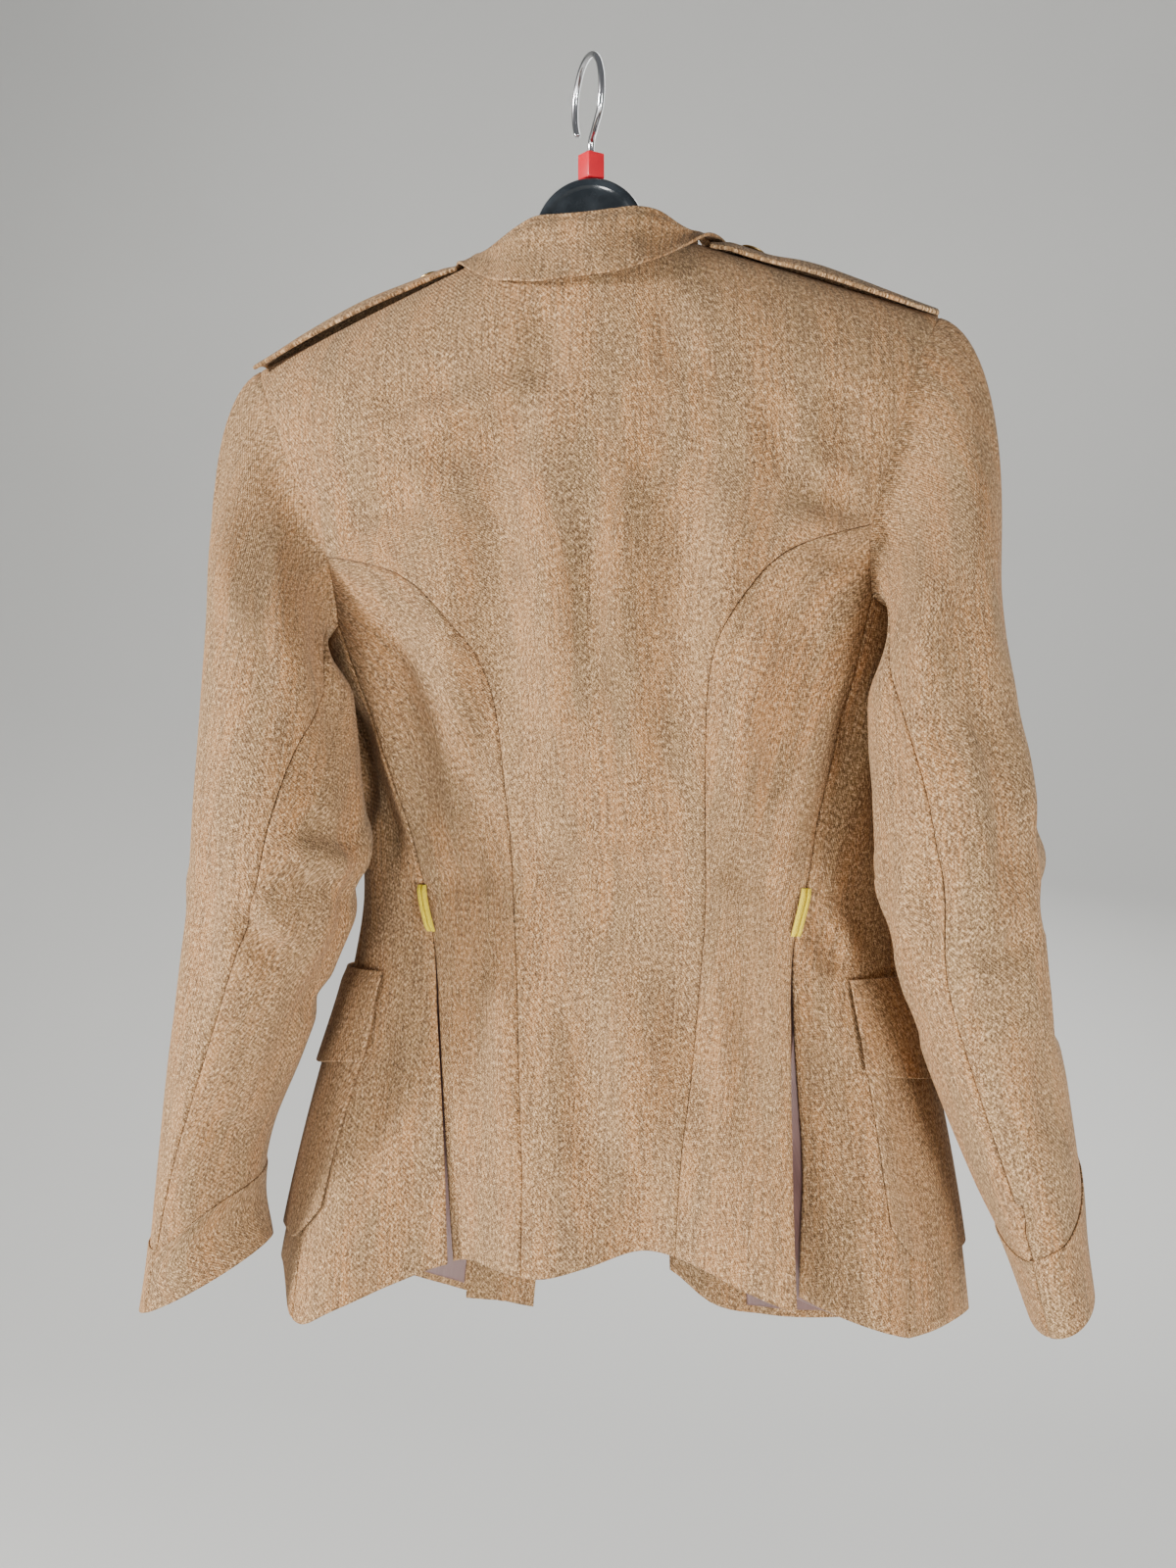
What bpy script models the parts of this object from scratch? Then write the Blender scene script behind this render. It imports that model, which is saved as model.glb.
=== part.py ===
"""A dress uniform jacket on a plastic hanger, hung by the hook.

Lengths are in millimetres in the tables and turned into metres by MM. +Z is up and the
origin is the inside top of the hook's bend. The jacket's back faces -Y, its open front
faces +Y, and the wearer's right arm is at +X. Angles round the body start at the centre
of the back, so 90 degrees is the wearer's right side and 180 the centre of the front.
"""

import math

import bmesh
import bpy
import numpy as np
from mathutils import Vector
from mathutils.bvhtree import BVHTree

MM = 0.001
UP = np.array([0.0, 0.0, 1.0])

# Cloth and seams
CLOTH = 2.0  # thickness of the interlined wool cloth
SEAM_GAP = 0.3  # between two pieces that are sewn together
LAYER_GAP = 0.35  # between a piece and the one that it lies on
LINING = 1.0  # thickness of the lining
POCKET_CLOTH = 1.6
FACING_CLOTH = 1.4
CUFF_CLOTH = 1.8
COLLAR_CLOTH = 2.0
STRAP_CLOTH = 2.8  # a shoulder strap is two layers
LOOP_CLOTH = 1.6

# The shoulder line, from the neck point to the top of the sleeve seam
TIP_X = 210.5
TIP_Z = -175.0
NECK_X = 68.0
SHOULDER_SLOPE = 0.385
SHOULDER_ROUND_BACK = 70.0  # depth below the shoulder line where the back is full
SHOULDER_ROUND_FRONT = 60.0
BACK_NECK_DIP = 21.0  # the neckline's dip at the centre of the back

# How the jacket hangs on its tilted hanger
SHOULDER_TILT = math.tan(math.radians(2.1))
TILT_FULL_Z = -330.0
TILT_ENDS_Z = -500.0
SWAY = 20.0  # how far the waist and skirt swing to the wearer's right
SWAY_STARTS_Z = -100.0
SWAY_FULL_Z = -500.0

# Rows of the body from the hem up
SEAM_ROWS = 12  # from the hem to the armhole
YOKE_ROWS = 7  # from the armhole's foot to the shoulder seam
BACK_COLUMNS = 16
NECK_COLUMNS = 6  # of the back's columns, those under the collar
SIDE_BACK_COLUMNS = 4
SIDE_PANEL_COLUMNS = 6
FRONT_COLUMNS = 10
UNDERARM_Z = -358.0
UNDERARM_ANGLE = 96.0  # top of the seam between the side panel and the front


class Table:
    """Rows with named columns, read as smooth curves over the first column."""

    def __init__(self, names, rows):
        self.names = names.split()
        self.rows = np.array(sorted(rows), float)

    def at(self, name, key):
        keys = self.rows[:, 0]
        values = self.rows[:, self.names.index(name)]
        slopes = np.gradient(values, keys)
        key = min(max(key, keys[0]), keys[-1])
        i = min(max(int(np.searchsorted(keys, key)) - 1, 0), len(keys) - 2)
        span = keys[i + 1] - keys[i]
        t = (key - keys[i]) / span
        return (
            values[i] * (1 + 2 * t) * (1 - t) ** 2
            + values[i + 1] * t * t * (3 - 2 * t)
            + span * slopes[i] * t * (1 - t) ** 2
            - span * slopes[i + 1] * t * t * (1 - t)
        )


# Rings of the body: half width, middle of the ring, and its depth to the back and front
BODY = Table(
    "height half_width middle back front",
    [
        (-90, 250, 0, 58, 46),
        (-172, 237, 2, 62, 56),
        (-237, 217, 8, 78, 66),
        (-285, 199, 12, 86, 74),
        (-320, 189, 14, 88, 77),
        (-358, 182, 15, 88, 77),
        (-400, 176, 17, 83, 72),
        (-437, 171, 18, 78, 68),
        (-478, 167, 18, 70, 62),
        (-515, 166, 18, 65, 58),
        (-555, 172, 17, 68, 57),
        (-625, 189, 15, 78, 58),
        (-675, 199, 13, 85, 60),
        (-717, 206, 12, 90, 60),
        (-760, 211, 11, 93, 60),
        (-800, 215, 10, 95, 60),
    ],
)

# The seams of the body, as half distances from the centre of the back
PRINCESS_SEAM = Table(
    "height across",
    [(-750, 43), (-657, 46), (-585, 52), (-517, 57), (-471, 58), (-421, 61), (-394, 64),
     (-360, 74), (-334, 93), (-321, 106), (-312, 121), (-304.5, 145), (-300, 164)],
)
VENT_SEAM = Table(
    "height across",
    [(-760, 107), (-655, 106.5), (-585, 107), (-530, 109), (-503, 115), (-478, 121),
     (-437, 133), (-397, 144), (-358, 155), (-340, 160)],
)
SIDE_SEAM = Table(
    "height angle",
    [(-790, 54), (-740, 57), (-650, 64), (-557, 72), (-513, 79), (-437, 88), (-358, 96)],
)
BACK_ARMHOLE = Table(
    "height across",
    [(-175, 210.5), (-205, 197), (-237, 186), (-262, 177), (-285, 169), (-300, 164),
     (-325, 160.5), (-340, 160)],
)
FRONT_ARMHOLE = Table(
    "height angle",
    [(-358, 96), (-345, 112), (-325, 122), (-300, 128), (-262, 127), (-225, 123),
     (-195, 119.5), (-175, 117.37)],
)

# The open front: where each edge hangs, across from the centre
FRONT_EDGE = Table(
    "height left right",
    [(-790, -68, 22), (-700, -60, 19), (-600, -48, 16), (-500, -36, 15), (-400, -24, 15)],
)
BREAK_Z = -400.0  # where the lapel starts to turn back
ROLL_LINE = Table(
    "height left right",
    [(-400, -24, 15), (-340, -33, 25), (-270, -44, 39), (-200, -56, 53), (-150, -64, 63),
     (-120.2, -68, 68)],
)

# The hem's height round the body, and below it the folds of the skirt
HEM = Table(
    "angle height",
    [(-180, -786), (-160, -786), (-142, -772), (-115, -750), (-90, -739), (-74, -740),
     (-65, -748), (-57, -761), (-51, -762), (-44, -750), (-38, -737), (-31, -726), (-17, -724),
     (-8, -724), (-2, -719),
     (7, -711), (15, -716), (24, -728), (32, -738), (42, -750), (52, -756), (90, -757),
     (120, -766), (140, -780), (158, -784), (168, -776), (173, -760), (180, -745)],
)
VENT_TOP_Z = -532.0
VENT_APART = 0.5  # degrees, each edge of a vent
HEM_Z = -735.0
# Folds of the skirt, with their outward depth at the hem; each fades out upwards
BACK_FOLDS = (
    # angle at the hem, angle at its top, depth, half width, top
    (-31, -39, -26, 12, -530),
    (-10, -12, 9, 9, -560),
    (9, 10, -17, 9, -600),
    (31, 39, 15, 13, -535),
)
SIDE_FOLDS = (
    (-31, -39, -21, 9, -532),
    (-49, -56, 17, 14, -545),
    (-82, -84, 8, 16, -560),
    (31, 39, -33, 9, -535),
    (45, 52, 7, 10, -560),
    (72, 74, -6, 15, -580),
    (-150, -150, 5, 16, -560),
    (-125, -122, -6, 14, -540),
    (152, 152, 6, 15, -560),
    (126, 122, -6, 14, -540),
)


def smooth(low, high, value):
    """0 at low, 1 at high, and a smooth step between them; high may be the lower one."""
    t = min(max((value - low) / (high - low), 0.0), 1.0)
    return t * t * (3 - 2 * t)


def shoulder_height(across):
    return TIP_Z + SHOULDER_SLOPE * (TIP_X - abs(across))


def fold_depth(folds, angle, height):
    total = 0.0
    for foot, high, depth, half_width, top in folds:
        centre = foot + (high - foot) * (height - HEM_Z) / (top - HEM_Z)
        share = abs(angle - centre) / half_width
        if share < 2.0 and height < top:
            bump = math.cos(share * math.pi / 4) ** 2
            total += depth * bump * min((top - height) / (top - HEM_Z), 1.25) ** 1.3
    return total


def hang(point):
    """Moves a point of the level jacket to where it is on the tilted, swaying hanger."""
    x, y, z = point
    tilt = x * SHOULDER_TILT * smooth(TILT_ENDS_Z, TILT_FULL_Z, z)
    sway = SWAY * smooth(SWAY_STARTS_Z, SWAY_FULL_Z, z)
    return np.array([x + sway, y, z + tilt])


def body_point(angle, height, folds):
    """A point of the jacket's outer surface, hung, in millimetres."""
    a = math.radians(angle)
    across = BODY.at("half_width", height) * math.sin(a)
    facing = math.cos(a)
    if facing >= 0:
        bulge = facing * (1.25 - 0.25 * facing**2)
        depth = BODY.at("middle", height) - BODY.at("back", height) * bulge
        rounding = SHOULDER_ROUND_BACK
    else:
        bulge = -facing * (1.5 - 0.5 * facing**2)
        depth = BODY.at("middle", height) + BODY.at("front", height) * bulge
        rounding = SHOULDER_ROUND_FRONT
    below = min(max((shoulder_height(across) - height) / rounding, 0.0), 1.0)
    depth *= math.sqrt(1 - (1 - below) ** 2)
    out = fold_depth(folds, angle, height)
    return hang((across + out * math.sin(a), depth - out * facing, height))


def unit(vector):
    return vector / max(np.linalg.norm(vector), 1e-9)


def body_normal(angle, height, folds):
    """Which way the outer surface faces; on the shoulder seam, square to the seam."""
    step_angle, step = 0.6, 1.0
    round_body = body_point(angle + step_angle, height, folds) - body_point(
        angle - step_angle, height, folds
    )
    upward = body_point(angle, height + step, folds) - body_point(
        angle, height - step, folds
    )
    normal = unit(np.cross(round_body, upward))
    across = BODY.at("half_width", height) * math.sin(math.radians(angle))
    below = shoulder_height(across) - height
    on_top = unit(
        np.array([math.copysign(SHOULDER_SLOPE, across) - SHOULDER_TILT, 0.0, 1.0])
    )
    share = smooth(0.0, 9.0, below)
    return unit(normal * share + on_top * (1 - share))


def angle_of(across, height, front=False):
    """The angle round the body of a point at that distance across, at that height."""
    share = min(max(across / BODY.at("half_width", height), -1.0), 1.0)
    angle = math.degrees(math.asin(share))
    if front:
        return math.copysign(180.0, across) - angle
    return angle


def heights(low, high, count, bend=1.0):
    """count + 1 heights from low to high; a bend over 1 crowds them towards high."""
    return [high - (high - low) * (1 - i / count) ** bend for i in range(count + 1)]


def seam_across(table, side, top, foot, count, bend=1.0):
    """Angle and height of each row of a seam that a table gives as a distance across."""
    rows = []
    for height in heights(foot, top, count, bend):
        rows.append((side * angle_of(table.at("across", height), height), height))
    return rows


# The lines that the panels share, each as (angle, height) rows from the hem up


def hem_height(angle):
    return HEM.at("height", angle)


def princess_seam(side):
    foot_angle = side * angle_of(PRINCESS_SEAM.at("across", -720), -720)
    return seam_across(PRINCESS_SEAM, side, -300.0, hem_height(foot_angle), SEAM_ROWS, 1.4)


def vent_seam(side, apart):
    """The seam over the vent; below its top the two edges stand apart by that angle."""
    foot_angle = side * angle_of(VENT_SEAM.at("across", -730), -730)
    rows = seam_across(VENT_SEAM, side, -340.0, hem_height(foot_angle), SEAM_ROWS)
    out = []
    for angle, height in rows:
        out.append((angle + side * apart * smooth(VENT_TOP_Z + 4, VENT_TOP_Z - 40, height), height))
    return out


def side_seam(side):
    foot = hem_height(side * SIDE_SEAM.at("angle", -757))
    rows = []
    for height in heights(foot, UNDERARM_Z, SEAM_ROWS):
        rows.append((side * SIDE_SEAM.at("angle", height), height))
    return rows


def front_edge(side):
    """From the hem to the break, then up the roll line to the neck point."""
    name = "right" if side > 0 else "left"
    foot = hem_height(side * 180 - angle_of(FRONT_EDGE.at(name, -785), -785))
    rows = []
    for height in heights(foot, BREAK_Z, SEAM_ROWS):
        across = FRONT_EDGE.at(name, height)
        rows.append((front_angle(across, height, side), height))
    top = shoulder_height(NECK_X)
    for height in heights(BREAK_Z, top, YOKE_ROWS, 1.25)[1:]:
        across = ROLL_LINE.at(name, height)
        rows.append((front_angle(across, height, side), height))
    return rows


def front_angle(across, height, side):
    """Angle of a point on the front, counted on past 180 where it crosses the centre."""
    share = across / BODY.at("half_width", height)
    return side * 180.0 - math.degrees(math.asin(share))


def back_armhole(side):
    """From the princess seam up to the shoulder tip."""
    rows = []
    for height in heights(-300.0, TIP_Z, YOKE_ROWS, 1.15):
        rows.append((side * angle_of(BACK_ARMHOLE.at("across", height), height), height))
    return rows


def low_back_armhole(side, count):
    """From the princess seam down to the vent seam, along the armhole."""
    rows = []
    for height in heights(-300.0, -340.0, count):
        rows.append((side * angle_of(BACK_ARMHOLE.at("across", height), height), height))
    return rows


def underarm(side, count):
    """From the vent seam round under the arm to the side seam."""
    first = angle_of(BACK_ARMHOLE.at("across", -340.0), -340.0)
    rows = []
    for i in range(count + 1):
        share = i / count
        angle = first + (UNDERARM_ANGLE - first) * share
        drop = math.sin(share * math.pi / 2) ** 0.8
        rows.append((side * angle, -340.0 + (UNDERARM_Z + 340.0) * drop))
    return rows


def front_armhole(side):
    """From the side seam up to the shoulder tip."""
    rows = []
    for height in heights(UNDERARM_Z, TIP_Z, YOKE_ROWS, 1.1):
        rows.append((side * FRONT_ARMHOLE.at("angle", height), height))
    return rows


def shoulder_line(from_across, to_across, front, columns):
    rows = []
    for share in columns:
        across = from_across + (to_across - from_across) * share
        height = shoulder_height(across)
        rows.append((angle_of(across, height, front), height))
    return rows


def hem_line(first, last, columns):
    """Along the hem between two angles."""
    rows = []
    for share in columns:
        angle = first + (last - first) * share
        rows.append((angle, hem_height(angle)))
    return rows


def patch(bottom, top, left, right):
    """A four-sided patch of (angle, height) from its four sides, rows from the bottom."""
    bottom, top, left, right = (np.array(s, float) for s in (bottom, top, left, right))
    rise = (left[:, 1] - left[0, 1]) / (left[-1, 1] - left[0, 1])
    other = (right[:, 1] - right[0, 1]) / (right[-1, 1] - right[0, 1])
    along = np.linspace(0, 1, len(bottom))
    grid = np.zeros((len(left), len(bottom), 2))
    for i in range(len(left)):
        for j in range(len(bottom)):
            u = along[j]
            v = rise[i] * (1 - u) + other[i] * u
            grid[i, j] = (
                left[i] * (1 - u)
                + right[i] * u
                + bottom[j] * (1 - v)
                + top[j] * v
                - bottom[0] * (1 - u) * (1 - v)
                - bottom[-1] * u * (1 - v)
                - top[0] * (1 - u) * v
                - top[-1] * u * v
            )
    return grid


def on_body(grid, folds, lift=0.0):
    """Points and outward directions of a patch on the body, moved out by lift."""
    rows, columns = grid.shape[:2]
    points, normals = np.zeros((rows, columns, 3)), np.zeros((rows, columns, 3))
    for i in range(rows):
        for j in range(columns):
            angle, height = grid[i, j]
            normals[i, j] = body_normal(angle, height, folds)
            points[i, j] = body_point(angle, height, folds) + normals[i, j] * lift
    return points, normals


def inward(edge, inner):
    """Directions in the cloth, square to an edge and away from it."""
    along = np.gradient(edge, axis=0)
    along /= np.linalg.norm(along, axis=1, keepdims=True)
    step = inner - edge
    step -= along * np.sum(step * along, axis=1, keepdims=True)
    return step / np.linalg.norm(step, axis=1, keepdims=True)


def trimmed(points, gap, sides="btlr"):
    """The grid with sides drawn in by gap: b bottom, t top, l first and r last column."""
    rows = {"b": (0, 1), "t": (-1, -2)}
    columns = {"l": (0, 1), "r": (-1, -2)}
    move = np.zeros(points.shape)
    steps = {}
    for key, (edge, inner) in rows.items():
        if key in sides:
            steps[key] = inward(points[edge], points[inner])
            move[edge] += steps[key]
    for key, (edge, inner) in columns.items():
        if key in sides:
            steps[key] = inward(points[:, edge], points[:, inner])
            move[:, edge] += steps[key]
    for key, (edge, inner) in rows.items():
        for other, (column, beside) in columns.items():
            if key in steps and other in steps:
                first, second = steps[key][column], steps[other][edge]
                move[edge, column] = (first + second) / max(1 + first @ second, 0.35)
    return points + move * gap


def grid_normals(points, ring=False):
    """Directions square to a grid: across its columns, then up its rows."""
    if ring:
        across = np.roll(points, -1, axis=1) - np.roll(points, 1, axis=1)
    else:
        across = np.gradient(points, axis=1)
    along = np.gradient(points, axis=0)
    normals = np.cross(across, along)
    return normals / np.linalg.norm(normals, axis=2, keepdims=True)


# Blender objects


def material(name, colour, roughness, metallic=0.0):
    made = bpy.data.materials.new(name)
    made.use_nodes = True
    shader = made.node_tree.nodes["Principled BSDF"]
    shader.inputs["Base Color"].default_value = (*colour, 1.0)
    shader.inputs["Roughness"].default_value = roughness
    shader.inputs["Metallic"].default_value = metallic
    return made


def finish(name, mesh, look, smooth_angle=35.0):
    mesh.shade_smooth()
    mesh.set_sharp_from_angle(angle=math.radians(smooth_angle))
    mesh.materials.append(look)
    made = bpy.data.objects.new(name, mesh)
    PARTS.objects.link(made)
    return made


def shell(name, outer, inner, look):
    """A closed wall between two grids of points, in millimetres, outer side out.

    The inner side isn't a plain offset: along a seam it follows the directions that the
    two pieces share, so that neighbours with different curves meet without crossing.
    """
    rows, columns = outer.shape[:2]
    mesh = bpy.data.meshes.new(name)
    bm = bmesh.new()
    sides = []
    for points in (outer, inner):
        sides.append([[bm.verts.new(p * MM) for p in row] for row in points])
    front, back = sides
    for i in range(rows - 1):
        for j in range(columns - 1):
            bm.faces.new((front[i][j], front[i][j + 1], front[i + 1][j + 1], front[i + 1][j]))
            bm.faces.new((back[i][j], back[i + 1][j], back[i + 1][j + 1], back[i][j + 1]))
    rim = [(0, j) for j in range(columns)] + [(i, columns - 1) for i in range(1, rows)]
    rim += [(rows - 1, j) for j in range(columns - 2, -1, -1)]
    rim += [(i, 0) for i in range(rows - 2, 0, -1)]
    for (i, j), (k, m) in zip(rim, rim[1:] + rim[:1]):
        corners = [front[k][m], front[i][j], back[i][j], back[k][m]]
        if k < i or m < j:  # both sides of a seam are split along the same diagonal
            corners = corners[1:] + corners[:1]
        bm.faces.new(corners)
    bmesh.ops.recalc_face_normals(bm, faces=bm.faces)
    bm.to_mesh(mesh)
    bm.free()
    return finish(name, mesh, look)


def sheet(name, grid, folds, look, lift=0.0, wall=CLOTH, gap=SEAM_GAP / 2):
    """A wall of cloth on the body, from its outer surface inwards."""
    points, normals = on_body(grid, folds, lift)
    points = trimmed(points, gap)
    return shell(name, points, points - normals * wall, look)


def height_over(trees, point, normal, reach=15.0):
    """How far the outermost of some meshes stands out from a point, or None."""
    start = Vector((point + normal * reach) * MM)
    best = None
    for tree in trees:
        distance = tree.ray_cast(start, Vector(-normal), 2 * reach * MM)[3]
        if distance is not None:
            height = reach - distance / MM
            best = height if best is None else max(best, height)
    return best


# Places tested in a cell of the grid, as weights of its corners, in either triangle
CORNER_SHARES = [(a / 5, b / 5, (5 - a - b) / 5) for a in range(6) for b in range(6 - a)]
CELL_SAMPLES = [np.array([[a, b], [0, c]]) for a, b, c in CORNER_SHARES]
CELL_SAMPLES += [np.array([[a, 0], [b, c]]) for a, b, c in CORNER_SHARES]


def rest_on(points, normals, under, gap=LAYER_GAP):
    """The grid lifted along its normals until it clears the pieces that it lies on."""
    trees = []
    for name in under:
        mesh = bpy.data.objects[name].data
        mesh.calc_loop_triangles()
        corners = [v.co for v in mesh.vertices]
        faces = [t.vertices for t in mesh.loop_triangles]
        trees.append(BVHTree.FromPolygons(corners, faces, all_triangles=True))
    rows, columns = points.shape[:2]
    lift = np.zeros((rows, columns))
    for i in range(rows):
        for j in range(columns):
            found = height_over(trees, points[i, j], normals[i, j])
            lift[i, j] = np.nan if found is None else found + gap
    lift = np.where(np.isnan(lift), np.nanmean(lift), lift)
    for _ in range(4):
        moved = points + normals * lift[:, :, None]
        need = np.zeros((rows, columns))
        for i in range(rows - 1):
            for j in range(columns - 1):
                cell = (slice(i, i + 2), slice(j, j + 2))
                for weights in CELL_SAMPLES:
                    at = np.tensordot(weights, moved[cell], 2)
                    out = unit(np.tensordot(weights, normals[cell], 2))
                    found = height_over(trees, at, out)
                    if found is not None and found > 0.02 - gap:
                        need[cell] = np.maximum(need[cell], (found + gap) * (weights > 0))
        lift += need
    return points + normals * lift[:, :, None]


def layer(name, points, normals, under, wall, look, gap=LAYER_GAP):
    """A piece of cloth that lies on others, on the side that its normals point to."""
    near = rest_on(points, normals, under, gap)
    return shell(name, near + normals * wall, near, look)


# The body


def make_back(look):
    left, right = princess_seam(-1), princess_seam(1)
    left = left[:-1] + back_armhole(-1)
    right = right[:-1] + back_armhole(1)
    columns = np.linspace(0, 1, BACK_COLUMNS + 1)
    bottom = hem_line(left[0][0], right[0][0], columns)
    top = []
    for across in top_line_across():
        dip = BACK_NECK_DIP * max(1 - (across / NECK_X) ** 2, 0.0)
        rise = shoulder_height(min(abs(across), TIP_X))
        if abs(across) < NECK_X:
            rise = shoulder_height(NECK_X)
        top.append((angle_of(across, rise - dip), rise - dip))
    sheet("back_center", patch(bottom, top, left, right), BACK_FOLDS, look)


def top_line_across():
    """Distances across of the back's columns at the top, with one at each neck point."""
    beside = (BACK_COLUMNS - NECK_COLUMNS) // 2
    left = np.linspace(-TIP_X, -NECK_X, beside + 1)
    middle = np.linspace(-NECK_X, NECK_X, NECK_COLUMNS + 1)
    right = np.linspace(NECK_X, TIP_X, beside + 1)
    return [*left, *middle[1:-1], *right]


def ordered(side, *lines):
    """The four sides of a patch with its columns running towards the wearer's right."""
    bottom, top, left, right = lines
    if side > 0:
        return bottom, top, left, right
    return bottom[::-1], top[::-1], right, left


def make_side_back(side, name, look):
    inner, outer = princess_seam(side), vent_seam(side, -VENT_APART)
    columns = np.linspace(0, 1, SIDE_BACK_COLUMNS + 1)
    bottom = hem_line(inner[0][0], outer[0][0], columns)
    top = low_back_armhole(side, SIDE_BACK_COLUMNS)
    sheet(name, patch(*ordered(side, bottom, top, inner, outer)), BACK_FOLDS, look)


def make_side_panel(side, name, look):
    inner, outer = vent_seam(side, VENT_APART), side_seam(side)
    columns = np.linspace(0, 1, SIDE_PANEL_COLUMNS + 1)
    bottom = hem_line(inner[0][0], outer[0][0], columns)
    top = underarm(side, SIDE_PANEL_COLUMNS)
    sheet(name, patch(*ordered(side, bottom, top, inner, outer)), SIDE_FOLDS, look)


def make_front(side, name, look):
    seam = side_seam(side)[:-1] + front_armhole(side)
    edge = front_edge(side)
    columns = np.linspace(0, 1, FRONT_COLUMNS + 1)
    bottom = hem_line(seam[0][0], edge[0][0], columns)
    top = shoulder_line(side * TIP_X, side * NECK_X, True, columns)
    sheet(name, patch(*ordered(side, bottom, top, seam, edge)), SIDE_FOLDS, look)


# Pieces that lie on the body or inside it


def body_patch(corners, rows, columns):
    """A patch from its bottom left, bottom right, top left and top right corners."""
    low_left, low_right, top_left, top_right = (np.array(c, float) for c in corners)
    grid = np.zeros((rows + 1, columns + 1, 2))
    for i in range(rows + 1):
        v = i / rows
        for j in range(columns + 1):
            u = j / columns
            low = low_left * (1 - u) + low_right * u
            high = top_left * (1 - u) + top_right * u
            grid[i, j] = low * (1 - v) + high * v
    return grid


def mirrored(grid, side):
    """The grid for that side, with its columns still running to the wearer's right."""
    if side > 0:
        return grid
    out = grid[:, ::-1].copy()
    out[:, :, 0] *= -1
    return out


POCKET_REAR_FOOT = 52.5  # angles of the pocket's corners round the body
POCKET_REAR_TOP = 54.5
POCKET_FRONT_FOOT = 116.0
POCKET_FRONT_TOP = 120.0
POCKET_TOP_Z = -571.0
POCKET_FOOT_Z = -717.0
POCKET_CORNER = 22.0  # how far the rounded bottom corners rise
FLAP_TOP_Z = -557.0
FLAP_FOOT_Z = -611.0


def body_under(side):
    word = "right" if side > 0 else "left"
    return [f"side_panel_{word}", f"front_{word}"]


def make_pocket(side, name, look):
    corners = (
        (POCKET_REAR_FOOT, POCKET_FOOT_Z),
        (POCKET_FRONT_FOOT, POCKET_FOOT_Z),
        (POCKET_REAR_TOP, POCKET_TOP_Z),
        (POCKET_FRONT_TOP, POCKET_TOP_Z),
    )
    rows, columns = 7, 10
    grid = body_patch(corners, rows, columns)
    for j in range(columns + 1):
        beside = min(j, columns - j) * 2.0 / columns
        rise = POCKET_CORNER * max(1 - beside / 0.35, 0.0) ** 2
        for i in range(rows + 1):
            grid[i, j, 1] += rise * (1 - i / rows)
    points, normals = on_body(mirrored(grid, side), SIDE_FOLDS)
    layer(name, points, normals, body_under(side), POCKET_CLOTH, look)


def make_flap(side, name, look):
    corners = (
        (POCKET_REAR_TOP - 2.0, FLAP_FOOT_Z),
        (POCKET_FRONT_TOP + 1.0, FLAP_FOOT_Z),
        (POCKET_REAR_TOP - 1.0, FLAP_TOP_Z),
        (POCKET_FRONT_TOP + 1.5, FLAP_TOP_Z),
    )
    rows, columns = 4, 10
    grid = body_patch(corners, rows, columns)
    for i in range(rows + 1):
        for j in range(columns + 1):
            grid[i, j, 1] -= 7.0 * math.sin(math.pi * j / columns) * (1 - i / rows)
    grid = mirrored(grid, side)
    points, normals = on_body(grid, SIDE_FOLDS)
    under = body_under(side) + [name.replace("_flap", "")]
    layer(name, points, normals, under, POCKET_CLOTH, look, 0.55)


FACING_WIDTH = 60.5
LINING_TOP_Z = -560.0
LINING_HEM = 14.0  # how far the lining's hem stays above the jacket's


def edge_across(height, side):
    name = "right" if side > 0 else "left"
    table = FRONT_EDGE if height < BREAK_Z else ROLL_LINE
    return table.at(name, height)


def make_facing(side, name, look):
    """Inside the front edge and up the roll line to the shoulder."""
    edge = front_edge(side)
    inner = []
    rise = (shoulder_height(128.0) - BREAK_Z) / (edge[-1][1] - BREAK_Z)
    for angle, height in edge:
        across = edge_across(height, side) + side * FACING_WIDTH
        if height > BREAK_Z:
            height = BREAK_Z + (height - BREAK_Z) * rise
        inner.append((front_angle(across, height, side), height))
    columns = np.linspace(0, 1, 4)
    foot = edge_across(edge[0][1], side) + side * FACING_WIDTH
    inner[0] = (front_angle(foot, edge[0][1], side), hem_height(inner[0][0]) + 1.0)
    edge[0] = (edge[0][0], edge[0][1] + 1.0)
    bottom = hem_line(inner[0][0], edge[0][0], columns)
    bottom = [(angle, height + 1.0) for angle, height in bottom]
    top_height = edge[-1][1]
    inner[-1] = (angle_of(side * 128.0, shoulder_height(128.0), True), shoulder_height(128.0))
    top = shoulder_line(side * 128.0, side * NECK_X, True, columns)
    top[-1] = (edge[-1][0], top_height)
    grid = patch(*ordered(side, bottom, top, inner, edge))
    grid[-1, :, 1] -= 3.0
    points, normals = on_body(grid, SIDE_FOLDS)
    points = trimmed(points, 1.3)
    under = [name.replace("facing", "front")]
    layer(name, points, -normals, under, FACING_CLOTH, look, 0.6)


def make_lining(side, name, look):
    """Inside the skirt from the vent to the facing."""
    rear, front = [], []
    for height in heights(-745.0, LINING_TOP_Z, 8):
        across = VENT_SEAM.at("across", height)
        rear.append((side * (angle_of(across, height) + 1.8), height))
        across = edge_across(height, side) + side * (FACING_WIDTH + 1.5)
        front.append((front_angle(across, height, side), height))
    columns = np.linspace(0, 1, 15)
    bottom = hem_line(rear[0][0], front[0][0], columns)
    bottom = [(angle, height + LINING_HEM) for angle, height in bottom]
    rear[0], front[0] = bottom[0], bottom[-1]
    top = []
    for share in columns:
        top.append((rear[-1][0] + (front[-1][0] - rear[-1][0]) * share, LINING_TOP_Z))
    grid = patch(*ordered(side, bottom, top, rear, front))
    points, normals = on_body(grid, SIDE_FOLDS)
    layer(name, points, -normals, body_under(side), LINING, look)


LAPEL_FOOT_Z = -396.0
LAPEL_TOP_Z = -185.5
LAPEL_WIDTH = 72.0


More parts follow.
